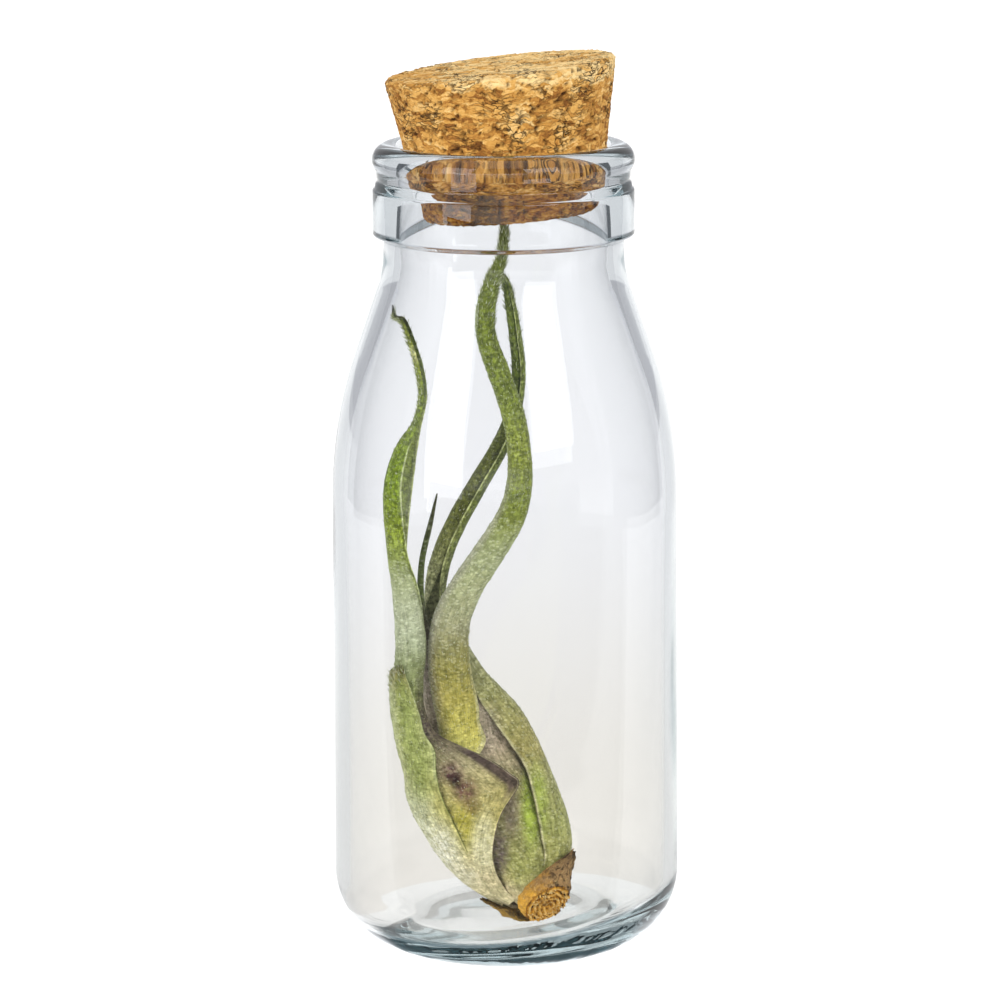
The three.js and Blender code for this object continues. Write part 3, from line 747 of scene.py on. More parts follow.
@dataclass
class GlassBottle:
    """The bottle: foot ring, round heel, long shoulder, banded finish, slanting floor."""

    finish: GlassFinish = field(default_factory=GlassFinish)
    rim_top: float = 132.4
    foot_radius: float = 28.3
    body_radius: float = 28.15
    heel_round: float = 12.5
    ring_width: float = 2.2
    push_up: float = 1.2
    shoulder_start: float = 74.3
    shoulder_round: float = 75.0
    neck_round: float = 17.0
    neck_start: float = 114.8
    neck_radius: float = 19.5
    neck_end: float = 116.4
    band_radius: float = 21.15
    band_low: float = 118.3
    band_high: float = 124.7
    band_drop: float = 0.3
    corner: float = 0.7
    low_corner: float = 0.4
    inner_corner: float = 0.25
    under_slope: float = 10.0
    over_slope: float = 28.0
    groove_radius: float = 20.35
    groove_round: float = 0.55
    groove_rise: float = 1.95
    groove_exit: float = 135.0
    bead_radius: float = 21.2
    bead_round: float = 2.6
    bead_start: float = -38.0
    wall: float = 2.05
    bore_radius: float = 16.8
    inner_shoulder_start: float = 72.5
    inner_neck_round: float = 14.0
    bore_start: float = 113.5
    lip_round: float = 1.4
    floor: float = 5.7
    floor_slope: float = 3.6
    floor_fade: float = 4.0
    pad_radius: float = 15.0
    trough: float = 1.5
    inner_heel: float = 7.0
    steps: int = 360
    knurls: int = 26
    knurl_depth: float = 0.12
    knurl_radii: Pair = (20.0, 22.0)
    knurl_heights: Pair = (1.8, 4.5)
    waviness: float = 0.12
    inner_waves: float = 0.09
    inner_calm: Pair = (104.0, 112.0)
    inner_calm_low: float = 24.0
    outer_waves: float = 0.07
    outer_share: float = 0.6
    outer_calm: Pair = (100.0, 112.0)
    outer_calm_low: Pair = (10.0, 24.0)

    def outside(self) -> list[Pair]:
        """The outer profile from the middle of the foot up to the top of the rim.

        Returns:
            (radius, height) points.
        """
        ring_outer = self.foot_radius - self.heel_round
        ring_inner = ring_outer - self.ring_width
        foot = [(ring_inner * share, self.push_up * (1 - share ** 2))
                for share in (0, *QUARTERS, 1)]
        side = [(self.body_radius + (self.foot_radius - self.body_radius) * (1 - share),
                 self.heel_round + (self.shoulder_start - self.heel_round) * share)
                for share in FIFTHS]
        neck = (self.neck_radius, self.neck_start)
        band = (
            arc((self.neck_radius + self.inner_corner,
                 self.neck_end + self.corner - self.inner_corner), self.inner_corner,
                180, 90 + self.under_slope, 4)
            + arc((self.band_radius - self.low_corner, self.band_low - self.band_drop),
                  self.low_corner, self.under_slope - 90, 0, 4)
            + arc((self.band_radius - self.corner, self.band_high), self.corner,
                  0, 90 - self.over_slope, 4)
            + arc((self.groove_radius + self.groove_round, self.band_high + self.groove_rise),
                  self.groove_round, 270 - self.over_slope, self.groove_exit, 4)
        )
        bead = arc((self.bead_radius - self.bead_round, self.rim_top - self.bead_round),
                   self.bead_round, self.bead_start, 90, 14)
        return (foot + arc((ring_outer, self.heel_round), self.heel_round, -90, 0, 22) + side
                + shoulder((self.body_radius, self.shoulder_start), neck, self.shoulder_round,
                           self.neck_round, 14) + band + bead)

    def inside(self) -> list[Pair]:
        """The inner profile from the middle of the floor up to the rim's inner edge.

        Returns:
            (radius, height) points.
        """
        inner = self.body_radius - self.wall
        middle = (inner - self.inner_heel, self.floor - self.trough + self.inner_heel)
        floor = [(self.pad_radius * share, self.floor) for share in (0.0, 0.3, 0.6, 0.85)]
        floor += [(self.pad_radius + (middle[0] - self.pad_radius) * share,
                   self.floor - self.trough * smooth_step(0, 1, share))
                  for share in (i / 8 for i in range(8))]
        side = [(inner, middle[1] + (self.inner_shoulder_start - middle[1]) * share)
                for share in FIFTHS]
        return (floor + arc(middle, self.inner_heel, -90, 0, 18) + side
                + shoulder((inner, self.inner_shoulder_start), (self.bore_radius, self.bore_start),
                           self.shoulder_round - self.wall, self.inner_neck_round, 14)
                + arc((self.bore_radius + self.lip_round, self.rim_top - self.lip_round),
                      self.lip_round, 180, 90, 5))

    def room(self, height: float) -> float:
        """How far from the axis the inner wall stands at a height.

        Args:
            height: The height in millimetres.

        Returns:
            The inner wall's radius in millimetres.
        """
        wall = [(z, radius) for radius, z in self.inside() if z > self.floor + self.inner_heel]
        heights, radii = zip(*wall)
        return float(np.interp(height, heights, radii))

    def shape(self, vert: bmesh.types.BMVert, inner: bool) -> Vector:
        """Moves one vertex to its place on the pressed glass.

        Args:
            vert: A vertex of the turned body.
            inner: Whether it lies on the inner face.

        Returns:
            The new place in metres.
        """
        x, y, z = vert.co / MM
        radius, angle = math.hypot(x, y), math.atan2(y, x)
        if inner:
            low = 1 - smooth_step(self.floor, self.floor + self.inner_heel + self.floor_fade, z)
            z += low * math.tan(math.radians(self.floor_slope)) * x
            sway = noise.noise(Vector((x, y, z * 0.35)) * self.inner_waves) * self.waviness
            radius += sway * smooth_step(self.floor + 2, self.inner_calm_low, z) * (
                1 - smooth_step(*self.inner_calm, z))
        else:
            on_foot = (smooth_step(*self.knurl_radii, radius)
                       * (1 - smooth_step(*self.knurl_heights, z)))
            turn = Vector((math.cos(angle), math.sin(angle), 0)) * self.knurls
            ridge = noise.noise(turn * 0.33) + 0.5 * noise.noise(turn * 0.9)
            z += self.knurl_depth * on_foot * (1 - smooth_step(-0.6, 0.6, ridge))
            sway = noise.noise(Vector((x, y, z * 0.3)) * self.outer_waves) * self.waviness
            radius += sway * self.outer_share * (
                smooth_step(*self.outer_calm_low, z) * (1 - smooth_step(*self.outer_calm, z)))
        return Vector((radius * math.cos(angle), radius * math.sin(angle), z)) * MM

    def build(self) -> bpy.types.Object:
        """Builds the bottle.

        Returns:
            The bottle.
        """
        outside, inside = self.outside(), self.inside()
        body = turned(outside + inside[::-1], self.steps)
        station = body.verts.layers.int["station"]
        for vert in body.verts:
            vert.co = self.shape(vert, inner=vert[station] >= len(outside))
        bottle = finished("glass_bottle_pressed", body, "clear_glass", ["glass_bottle"],
                          [self.finish.make()])
        bottle.visible_shadow = False
        bottle.visible_diffuse = False
        return bottle


# ---------------------------------------------------------------- cork


@dataclass
class CorkStopper:
    """The tapered cork, pushed in a little askew."""

    finish: CorkFinish = field(default_factory=CorkFinish)
    top_radius: float = 18.6
    bottom_radius: float = 14.4
    length: float = 23.5
    edge: float = 0.5
    tilt: float = 4.6
    slant: float = 1.6
    top: Point = (-0.5, 0.0, 144.6)
    steps: int = 300
    rows: int = 62
    face_rings: int = 36
    granules: float = 0.42
    granule_bends: Pair = (0.45, 1.6)
    seam_width: float = 0.14
    broken_seams: Pair = (0.05, 0.3)
    pit_depth: float = 0.5
    relief: float = 0.13
    seed: int = 1795290023

    def profile(self) -> list[Pair]:
        """The profile from the middle of the lower end up to the middle of the top.

        Returns:
            (radius, height) points.
        """
        rings = [i / self.face_rings for i in range(self.face_rings + 1)]
        low = [((self.bottom_radius - self.edge) * share, -self.length) for share in rings]
        side = [(self.bottom_radius + (self.top_radius - self.bottom_radius) * i / self.rows,
                 -self.length + self.edge + (self.length - 2 * self.edge) * i / self.rows)
                for i in range(self.rows + 1)]
        high = [((self.top_radius - self.edge) * share, 0.0) for share in reversed(rings)]
        return low + side + high

    def pit(self, place: Vector) -> float:
        """How deep a pit between the granules is at a place.

        Args:
            place: The place in millimetres.

        Returns:
            A share from 0 to 1.
        """
        waves, reach = self.granule_bends
        bent = Vector((place.x, place.y, place.z * 2.0))
        bent += noise.noise_vector(bent * waves) * reach
        near, next_near = noise.voronoi(bent * self.granules)[0][:2]
        seam = 1 - smooth_step(0.0, self.seam_width, next_near - near)
        return seam * smooth_step(*self.broken_seams, noise.fractal(bent * 0.5, 0.6, 2.0, 3))

    def build(self) -> bpy.types.Object:
        """Builds the cork. Unless it is seeded, noise_vector follows the clock at start-up.

        Returns:
            The cork.
        """
        noise.seed_set(self.seed)
        body = turned(self.profile(), self.steps)
        pits = body.verts.layers.float.new("pit")
        body.normal_update()
        for vert in body.verts:
            place = vert.co / MM
            pit = self.pit(place)
            rough = noise.fractal(Vector((place.x, place.y, place.z * 2.2)) * 1.1, 0.5, 2.0, 4)
            vert[pits] = pit
            vert.co += vert.normal * MM * (self.relief * rough - self.pit_depth * pit)
            share = 1 + place.z / self.length
            vert.co.z += share * math.tan(math.radians(self.slant)) * vert.co.x
        tilt = Matrix.Rotation(-math.radians(self.tilt), 4, "Y")
        bmesh.ops.transform(body, verts=body.verts,
                            matrix=Matrix.Translation(Vector(self.top) * MM) @ tilt)
        return finished("cork_stopper_granular", body, "cork", ["cork_stopper"],
                        [self.finish.make()])


# ---------------------------------------------------------------- plant


@dataclass(frozen=True)
class Section:
    """A leaf's cross-section: a part of a tube, in millimetres and degrees.

    Angles run from the front (0) towards the right (90). lean and back tilt the section
    to the right and to the back. depth is its front-to-back share of the width, and ridge
    is how far a keel stands out of it.
    """

    at: Point
    radius: float
    start: float
    end: float
    wall: float
    lean: float = 0.0
    back: float = 0.0
    depth: float = 1.0
    ridge: float = 0.0

    def row(self) -> list[float]:
        """The section's numbers in one row."""
        return [*self.at, self.radius, self.start, self.end, self.wall, self.lean, self.back,
                self.depth, self.ridge]

    @staticmethod
    def axes(lean: float, back: float) -> tuple[Vector, Vector]:
        """The directions in the section's plane.

        Args:
            lean: Tilt to the right in degrees.
            back: Tilt to the back in degrees.

        Returns:
            The front and the right direction.
        """
        up = Vector((math.tan(math.radians(lean)), math.tan(math.radians(back)), 1)).normalized()
        front = Vector((0, -1, 0))
        front = (front - up * front.dot(up)).normalized()
        return front, up.cross(front)


def blade(*rows: tuple[float, ...]) -> list[Section]:
    """Sections from rows of x, y, z, radius, start, end, wall, lean, back and, if any, depth."""
    return [Section(row[:3], *row[3:]) for row in rows]


class SmoothRows:
    """A smooth curve through rows of numbers."""

    def __init__(self, rows: Sequence[Sequence[float]]) -> None:
        """Keeps the rows, each with the same number of numbers."""
        self.rows = np.array(rows, float)

    def at(self, share: float) -> np.ndarray:
        """Reads the curve.

        Args:
            share: 0 at the first row and 1 at the last.

        Returns:
            The row of numbers there.
        """
        rows, last = self.rows, len(self.rows) - 1
        place = min(max(share, 0.0), 1.0) * last
        i = min(int(place), last - 1)
        t = place - i
        before = rows[i - 1] if i > 0 else 2 * rows[0] - rows[1]
        after = rows[i + 2] if i + 2 <= last else 2 * rows[last] - rows[last - 1]
        left, right = (rows[i + 1] - before) / 2, (after - rows[i]) / 2
        gap = rows[i + 1] - rows[i]
        return (rows[i] + left * t + (3 * gap - 2 * left - right) * t ** 2
                + (left + right - 2 * gap) * t ** 3)


@dataclass
class Bulb:
    """The plant's bulb: rings along its leaning axis that the sheaths follow."""

    depth: float = 0.86
    rings: tuple[tuple[float, ...], ...] = (
        # x, y, z, radius, lean, back
        (6.5, -14.5, 9.9, 4.0, -38, 52),
        (4.5, -11.8, 12.4, 6.7, -32, 34),
        (2.5, -10.3, 15.6, 9.1, -28, 20),
        (0.0, -9.2, 19.6, 10.8, -27, 14),
        (-3.3, -7.8, 26.2, 11.5, -26, 10),
        (-6.2, -6.9, 32.2, 10.9, -24, 7),
        (-8.3, -6.3, 38.0, 9.5, -20, 5),
        (-10.3, -5.9, 43.4, 7.9, -16, 4),
        (-11.6, -5.6, 49.5, 6.0, -10, 3),
    )

    def sheath(self, level: float, start: float, end: float, wall: float, inset: float,
               shift: float = 0.0, shift_to: float = 0.0, ridge: float = 0.0) -> Section:
        """A leaf's section on the bulb.

        Args:
            level: Height on the bulb, counted in rings.
            start: First angle of the sheath.
            end: Last angle of the sheath.
            wall: Its thickness.
            inset: How deep it lies under the bulb's surface.
            shift: How far its middle is moved sideways.
            shift_to: The angle that it is moved towards.
            ridge: How far the keel stands out.

        Returns:
            The section.
        """
        x, y, z, radius, lean, back = SmoothRows(self.rings).at(level / (len(self.rings) - 1))
        front, right = Section.axes(lean, back)
        angle = math.radians(shift_to)
        middle = Vector((x, y, z)) + shift * (
            right * math.sin(angle) + front * math.cos(angle) * self.depth)
        return Section(tuple(middle), radius - inset, start, end, wall, lean, back, self.depth,
                       ridge)


class Face(Enum):
    """Which face of a leaf a finish covers."""

    OUTER = 0
    INNER = 1


@dataclass(frozen=True)
class Bristles:
    """The tiny pointed scales that stand on a leaf's outer face, in millimetres."""

    count: int = 0
    length: Pair = (0.28, 0.5)
    across: Pair = (0.01, 0.98)
    along: Pair = (0.03, 0.985)
    foot: Pair = (0.045, 0.085)
    point: float = 0.012
    sides: int = 3
    rise: float = 0.75
    outward: Pair = (0.25, 0.7)
    sideways: Pair = (-0.35, 0.35)
    sink: float = 0.08
    hold: float = 0.42
    long_from: float = 0.9
    long_over: float = 0.2
    long_gain: float = 1.3
    bare_frost: float = 0.15
    clearance: float = 0.4
    ceiling: float = 120.3
    seed: int = 3


@dataclass
class Leaf:
    """One leaf: a rolled sheet that runs from its sheath on the bulb to its tip."""

    name: str
    node: str
    slot: str
    sections: list[Section]
    finishes: dict[Face, Any]
    frost: Callable[[float, float, float], float] = lambda across, along, height: 1.0
    tuck: Callable[[float, float], float] = lambda across, along: 0.0
    rows_per_section: int = 9
    columns: int = 30
    margin_thinning: float = 0.4
    keel_angle: float = -62.0
    keel_width: float = 26.0
    relief: float = 0.10
    ruffle: float = 0.10
    rough_radius: float = 3.0
    raggedness: float = 0.0
    probe: float = 0.004
    bristles: Bristles = field(default_factory=Bristles)
    glass: GlassBottle = field(default_factory=GlassBottle)

    def __post_init__(self) -> None:
        """Lays the smooth curve through the sections."""
        self.curve = SmoothRows([section.row() for section in self.sections])
        self.rows = (len(self.sections) - 1) * self.rows_per_section

    def place(self, across: float, along: float) -> tuple[Vector, float]:
        """The outer face's place and the wall's thickness.

        Args:
            across: 0 at the first margin and 1 at the second.
            along: 0 at the base and 1 at the tip.

        Returns:
            The place and the thickness, in millimetres.
        """
        if self.raggedness:
            torn = noise.fractal(Vector((across * 9, 2.7, len(self.name))), 0.5, 2.0, 4)
            along *= 1 - self.raggedness * (0.5 + 0.5 * torn)
        x, y, z, radius, start, end, wall, lean, back, depth, ridge = self.curve.at(along)
        front, right = Section.axes(lean, back)
        angle = start + (end - start) * across
        edge = abs(2 * across - 1) ** 3
        thickness = wall * (1 - (1 - self.margin_thinning) * edge)
        keel = ridge * math.exp(-(((angle - self.keel_angle) / self.keel_width) ** 2))
        turn = math.radians(angle)
        direction = right * math.sin(turn) + front * math.cos(turn) * depth
        middle = Vector((x, y, z))
        rough = noise.fractal((middle + direction * radius) * 0.9, 0.6, 2.0, 3)
        wave = noise.noise(Vector((along * 60, across * 2, len(self.name)))) * edge
        size = min(radius, self.rough_radius) / self.rough_radius
        reach = radius + keel + (self.relief * rough + self.ruffle * wave) * size
        return middle + direction * (reach - self.tuck(across, along)), thickness

    def build(self) -> bpy.types.Object:
        """Builds the leaf.

        Returns:
            The leaf.
        """
        sheet = bmesh.new()
        sheet.loops.layers.uv.new("leaf")
        bmesh.ops.create_grid(sheet, x_segments=self.columns, y_segments=self.rows, size=0.5,
                              calc_uvs=True)
        frost = sheet.verts.layers.float.new("frost")
        thickest = max(section.wall for section in self.sections)
        walls = []
        sheet.verts.index_update()
        for vert in sheet.verts:
            across, along = vert.co.x + 0.5, vert.co.y + 0.5
            place, thickness = self.place(across, along)
            vert[frost] = self.frost(across, along, place.z)
            vert.co = place * MM
            walls.append(thickness / thickest)
        materials = [self.finishes[face].make() for face in Face if face in self.finishes]
        leaf = finished(self.name, sheet, self.slot, [self.node], materials)
        group = leaf.vertex_groups.new(name="wall")
        for index, share in enumerate(walls):
            group.add([index], share, "REPLACE")
        wall = leaf.modifiers.new("wall", "SOLIDIFY")
        wall.thickness = thickest * MM
        wall.offset = -1
        wall.vertex_group = group.name
        wall.material_offset = wall.material_offset_rim = len(materials) - 1
        rounding = leaf.modifiers.new("rounding", "SUBSURF")
        rounding.levels = rounding.render_levels = 1
        if self.bristles.count:
            self.build_bristles()
        return leaf

    def build_bristles(self) -> bpy.types.Object:
        """Stands the scales on the leaf's outer face, longer near its tip, clear of the glass.

        Returns:
            The scales, as one piece.
        """
        b, draw, body = self.bristles, random.Random(self.bristles.seed), bmesh.new()
        tone = body.verts.layers.float.new("tone")
        for _ in range(b.count):
            across, along = draw.uniform(*b.across), draw.uniform(*b.along)
            root = self.place(across, along)[0]
            sideways = self.place(across + self.probe, along)[0] - root
            upwards = self.place(across, along + self.probe)[0] - root
            out = sideways.cross(upwards).normalized()
            upwards.normalize()
            growth = smooth_step(b.long_from - b.long_over, b.long_from, along)
            length = draw.uniform(*b.length) * (1 + b.long_gain * growth)
            way = (upwards * b.rise + out * draw.uniform(*b.outward)
                   + out.cross(upwards) * draw.uniform(*b.sideways)).normalized()
            end = root + way * length
            if (math.hypot(end.x, end.y) > self.glass.room(end.z) - b.clearance
                    or end.z > b.ceiling or self.frost(across, along, root.z) < b.bare_frost):
                continue
            spike(body, tone, root - out * b.sink + way * length * b.hold, way, length,
                  (draw.uniform(*b.foot), b.point), b.sides, draw.random())
        name = self.name.replace("blade", "scales")
        return finished(name, body, self.slot, [], [BristleFinish(name).make()])


# Patches that run on from the front wrap of the bulb to the short leaf beside it.
SHEATH_SPOTS = (
    Spot((-6.9, -18.0, 23.5), (5.0, 9.0, 5.5), "#B4AC3C", 0.85),
    Spot((-10.8, -15.0, 17.5), (5.0, 9.0, 9.0), "#F4F4E8", 0.9),
    Spot((-14.5, -11.0, 23.0), (4.5, 12.0, 11.0), "#EEF0DE", 0.85),
    Spot((-7.5, -15.5, 14.0), (4.5, 9.0, 4.5), "#E6E2CA", 0.85),
)


class AirPlant:
    """The plant: five leaves, two dry scales and the stem's cut base."""

    def __init__(self) -> None:
        """Takes the bulb that every sheath follows."""
        self.bulb = Bulb()

    def left_leaf(self) -> Leaf:
        """The big front wrap of the bulb, whose blade climbs the left side as a channel.

        Returns:
            The leaf.
        """
        wrap = self.bulb.sheath
        sections = [
            wrap(0.7, -150, -60, 0.6, 0.5),
            wrap(1.1, -148, -54, 0.8, 0.6),
            wrap(1.6, -146, -42, 0.9, 0.8),
            wrap(2.2, -144, -28, 0.9, 0.8),
            wrap(3.0, -142, -9, 0.9, 0.8),
            wrap(3.6, -142, 12, 0.9, 0.8, ridge=0.2),
            wrap(4.0, -142, 36, 0.9, 0.8, ridge=0.4),
            wrap(4.3, -142, 34, 0.9, 0.8, ridge=0.6),
            wrap(4.7, -140, 27, 0.9, 0.8, ridge=0.7),
        ] + blade(
            (-8.4, -8.6, 33.4, 7.8, -138, 31, 0.9, -20, 5),
            (-11.2, -9.7, 35.6, 5.5, -138, 36, 0.9, -15, 4),
            (-13.7, -10.3, 37.8, 3.4, -140, 46, 0.9, -10, 4),
            (-15.1, -10.1, 41.2, 2.5, -145, 72, 0.9, -4, 3),
            (-15.4, -9.7, 46.0, 2.45, -155, 76, 0.9, -2, 2),
            (-15.1, -9.2, 52.0, 2.5, -170, 90, 0.85, -2, 2),
            (-15.8, -8.8, 60.5, 2.25, -190, 76, 0.8, -6, 2),
            (-16.9, -8.4, 67.5, 2.0, -220, 44, 0.75, -8, 2),
            (-17.0, -8.0, 77.0, 2.4, -255, 17, 0.7, 4, 3),
            (-15.6, -7.4, 83.5, 1.9, -255, 8, 0.6, 26, 4),
            (-13.9, -6.8, 87.8, 0.9, -240, 8, 0.4, 20, 5),
            (-12.9, -6.2, 92.0, 0.78, -230, 10, 0.35, 0, 6),
            (-13.3, -5.6, 96.0, 0.8, -230, 10, 0.35, -16, 8),
            (-14.5, -5.0, 100.5, 0.68, -230, 10, 0.3, -24, 8),
            (-15.9, -4.4, 104.1, 0.58, -230, 10, 0.25, -40, 8),
            (-17.3, -3.4, 104.7, 0.34, -230, 10, 0.2, -50, 4),
            (-17.7, -3.0, 106.5, 0.15, -230, 10, 0.1, -14, 4),
        )
        outer = LeafFinish(
            "left_leaf_outer",
            heights=((8, "#E2D8B0"), (14, "#DDD2A8"), (20, "#CCC586"), (27, "#BDB36C"),
                     (33, "#BAB088"), (39, "#A59C76"), (44, "#8E9858"), (52, "#A2AC84"),
                     (57, "#AAB28C"), (62, "#96A064"), (69, "#88982E"), (80, "#728720"),
                     (95, "#768428"), (99, "#949E40"), (103, "#646C26"), (106, "#35301E")),
            spots=SHEATH_SPOTS + (
                Spot((-3.6, -17.0, 20.0), (3.0, 9.0, 8.5), "#E2DEBC", 0.85),
                Spot((-3.8, -16.0, 13.5), (4.0, 9.0, 4.0), "#DCCFA6", 0.85),
                Spot((-9.5, -17.0, 36.0), (4.0, 9.0, 3.0), "#8A8064", 0.5),
                # Dark marks along the front wrap's top margin: partly the leaf's own purple, partly
                # painted shade under the flared margin.
                Spot((-8.8, -18.0, 32.2), (3.0, 9.0, 3.0), "#5E3A3E", 1.0),
                Spot((-6.6, -18.0, 29.4), (3.2, 9.0, 3.4), "#6E4C44", 1.0),
                Spot((-7.9, -18.0, 30.8), (1.7, 9.0, 2.1), "#280810", 1.0),
                Spot((-5.4, -18.0, 26.8), (2.2, 9.0, 2.0), "#7E683E", 0.8),
                Spot((-14.2, -5.2, 98.8), (2.2, 5.0, 1.9), "#D8D79C", 0.85),
            ),
            bands=(
                # Dark purple strip under the flared top margin: partly the leaf's own purple,
                # partly painted shade.
                Band((0.935, 1.5), (0.225, 0.385), "#453438", 0.92, 0.02),
                # Dark purple band on the right side, next to the main leaf: partly purple, partly
                # painted shade.
                Band((0.80, 1.5), (0.385, 0.52), "#4A3C40", 0.95, 0.06),
                Band((0.993, 1.5), (0.08, 0.48), "#C9BE9C", 1.0, 0.004),
                Band((0.975, 1.5), (0.58, 0.73), "#CDD4A4", 0.9, 0.015),
            ))
        inner = LeafFinish(
            "left_leaf_inner",
            heights=((9, "#D8C8A4"), (14, "#8A7668"), (30, "#5C4A48"), (42, "#737E48"),
                     (58, "#8E9E50"), (68, "#AEBC60"), (85, "#A6B452"), (94, "#7A8A3C"),
                     (106, "#3A3626")),
            bands=(Band((-1.0, 0.06), (0.56, 0.8), "#B9C08C", 0.8, 0.03),),
            frost=0.4)
        return Leaf("leaf_left_blade", "leaf_left", "leaf_green", sections,
                    {Face.OUTER: outer, Face.INNER: inner},
                    frost=lambda across, along, height: (
                        (0.5 + 0.9 * smooth_step(46, 54, height) * (1 - smooth_step(62, 70, height))
                         + 0.5 * smooth_step(0.35, 0.0, across))
                        * (1 - 0.9 * smooth_step(0.89, 0.93, across)
                           * smooth_step(0.19, 0.22, along))),
                    tuck=self.auricle_dip, ruffle=0.03, bristles=Bristles(2600))

    @staticmethod
    def auricle_dip(across: float, along: float) -> float:
        """How far the front wrap dips in under its free margin, which itself flares out.

        Args:
            across: The share of the leaf's width.
            along: The share of its length.

        Returns:
            The depth of the dip in millimetres, below 0 where the margin flares out.
        """
        dip_depth, flare, foot_depth = 0.55, 0.45, 1.25
        at_corner = smooth_step(0.12, 0.22, along) * (1 - smooth_step(0.36, 0.46, along))
        dip = smooth_step(0.74, 0.9, across) * (1 - smooth_step(0.92, 1.0, across))
        at_foot = 1 - smooth_step(0.1, 0.24, along)
        return (at_corner * (dip_depth * dip - flare * smooth_step(0.93, 1.0, across))
                + foot_depth * at_foot * smooth_step(0.84, 1.0, across))

    def back_leaf(self) -> Leaf:
        """The wrap of the bulb's back and right side, with a nearly closed rolled blade.

        Returns:
            The leaf.
        """

        def wrap(level: float, start: float, end: float, wall: float = 0.8, inset: float = 1.6,
                 shift: float = 1.6) -> Section:
            """A section of this sheath, moved to the right."""
            return self.bulb.sheath(level, start, end, wall, inset, shift, 100)

        sections = [
            wrap(0.65, 22, 226, 0.5, 1.0, 0.3),
            wrap(0.95, 23, 230, 0.6, 1.15, 0.6),
            wrap(1.3, 25, 236, 0.7, 1.3, 1.1),
            wrap(1.8, 28, 242),
            wrap(2.5, 32, 244),
            wrap(3.3, 40, 244),
            wrap(4.2, 48, 244, shift=1.8),
            wrap(5.0, 44, 240, inset=1.4, shift=2.2),
            wrap(5.8, 40, 238, inset=1.3, shift=2.3),
            wrap(6.6, 42, 238, inset=1.4, shift=2.0),
            wrap(7.3, 56, 245),
        ] + blade(
            (-10.6, -3.4, 51.5, 3.6, 52, 262, 0.8, -10, 4),
            (-11.4, -2.4, 57.0, 1.9, 30, 308, 0.75, 0, 4),
            (-10.6, -2.0, 63.5, 1.75, 16, 376, 0.7, 14, 4),
            (-7.9, -1.5, 70.5, 1.7, 12, 384, 0.7, 27, 4),
            (-4.4, -1.0, 76.8, 1.6, 12, 384, 0.65, 31, 5),
            (-0.9, -0.4, 82.8, 1.45, 12, 384, 0.6, 27, 5),
            (1.4, 0.2, 88.5, 1.3, 14, 384, 0.55, 14, 5),
            (2.3, 0.8, 94.5, 1.15, 14, 384, 0.5, 0, 5),
            (1.8, 1.3, 100.5, 1.05, 14, 384, 0.45, -8, 4),
            (1.1, 1.6, 105.3, 0.9, 20, 384, 0.4, -10, 3),
            (0.4, 1.8, 108.7, 0.75, 20, 382, 0.3, -34, 3),
            (-0.7, 1.9, 110.3, 0.5, 20, 380, 0.22, -62, 2),
            (-1.8, 1.9, 110.7, 0.2, 20, 370, 0.12, -78, 2),
        )
        outer = LeafFinish(
            "back_leaf_outer",
            heights=((8, "#C8B85C"), (14, "#ABA65E"), (22, "#A4A866"), (30, "#A8A86A"),
                     (36, "#A8A062"), (44, "#A0A068"), (52, "#A0A27E"), (60, "#A2A47C"),
                     (66, "#8E925A"), (72, "#727838"), (80, "#626A28"), (92, "#606F1E"),
                     (104, "#6C7B2C"), (113, "#646F2E")),
            spots=(
                Spot((6.5, -6.0, 28.0), (3.0, 9.0, 8.0), "#A3A57C", 0.6),
                Spot((5.2, -13.5, 27.0), (2.4, 6.0, 9.5), "#A2B44C", 0.8),
                Spot((1.0, -12.0, 33.1), (3.0, 8.0, 4.0), "#8E7D3E", 0.6),
                Spot((-2.7, -13.0, 39.5), (3.2, 8.0, 5.0), "#8A7E70", 0.7),
            ),
            bands=(
                Band((-1.0, 0.015), (-1.0, 0.40), "#C9C59C", 0.8, 0.012),
                Band((0.02, 0.25), (0.52, 0.9), "#74803C", 0.8, 0.06),
                Band((0.68, 2.0), (0.59, 0.76), "#50521E", 0.65, 0.05),
                Band((-1.0, 0.022), (0.52, 2.0), "#C3C88A", 0.9, 0.012),
            ),
            frost=0.42)
        inner = LeafFinish(
            "back_leaf_inner",
            heights=((10, "#A8A27A"), (40, "#8C8268"), (50, "#A8A88C"), (62, "#9AA06C"),
                     (112, "#62802A")), frost=0.3)
        return Leaf("leaf_back_blade", "leaf_back", "leaf_dark", sections,
                    {Face.OUTER: outer, Face.INNER: inner},
                    frost=lambda across, along, height: 0.9 - 0.5 * smooth_step(50, 62, height),
                    tuck=lambda across, along: (
                        (1.15 + 1.1 * smooth_step(0.26, 0.36, along))
                        * smooth_step(0.16, 0.0, across) * (1 - smooth_step(0.44, 0.52, along))
                        + 0.42 * smooth_step(0.86, 0.97, across) * smooth_step(0.52, 0.58, along)
                        * (1 - 0.85 * smooth_step(0.84, 0.98, along))),
                    bristles=Bristles(2000))

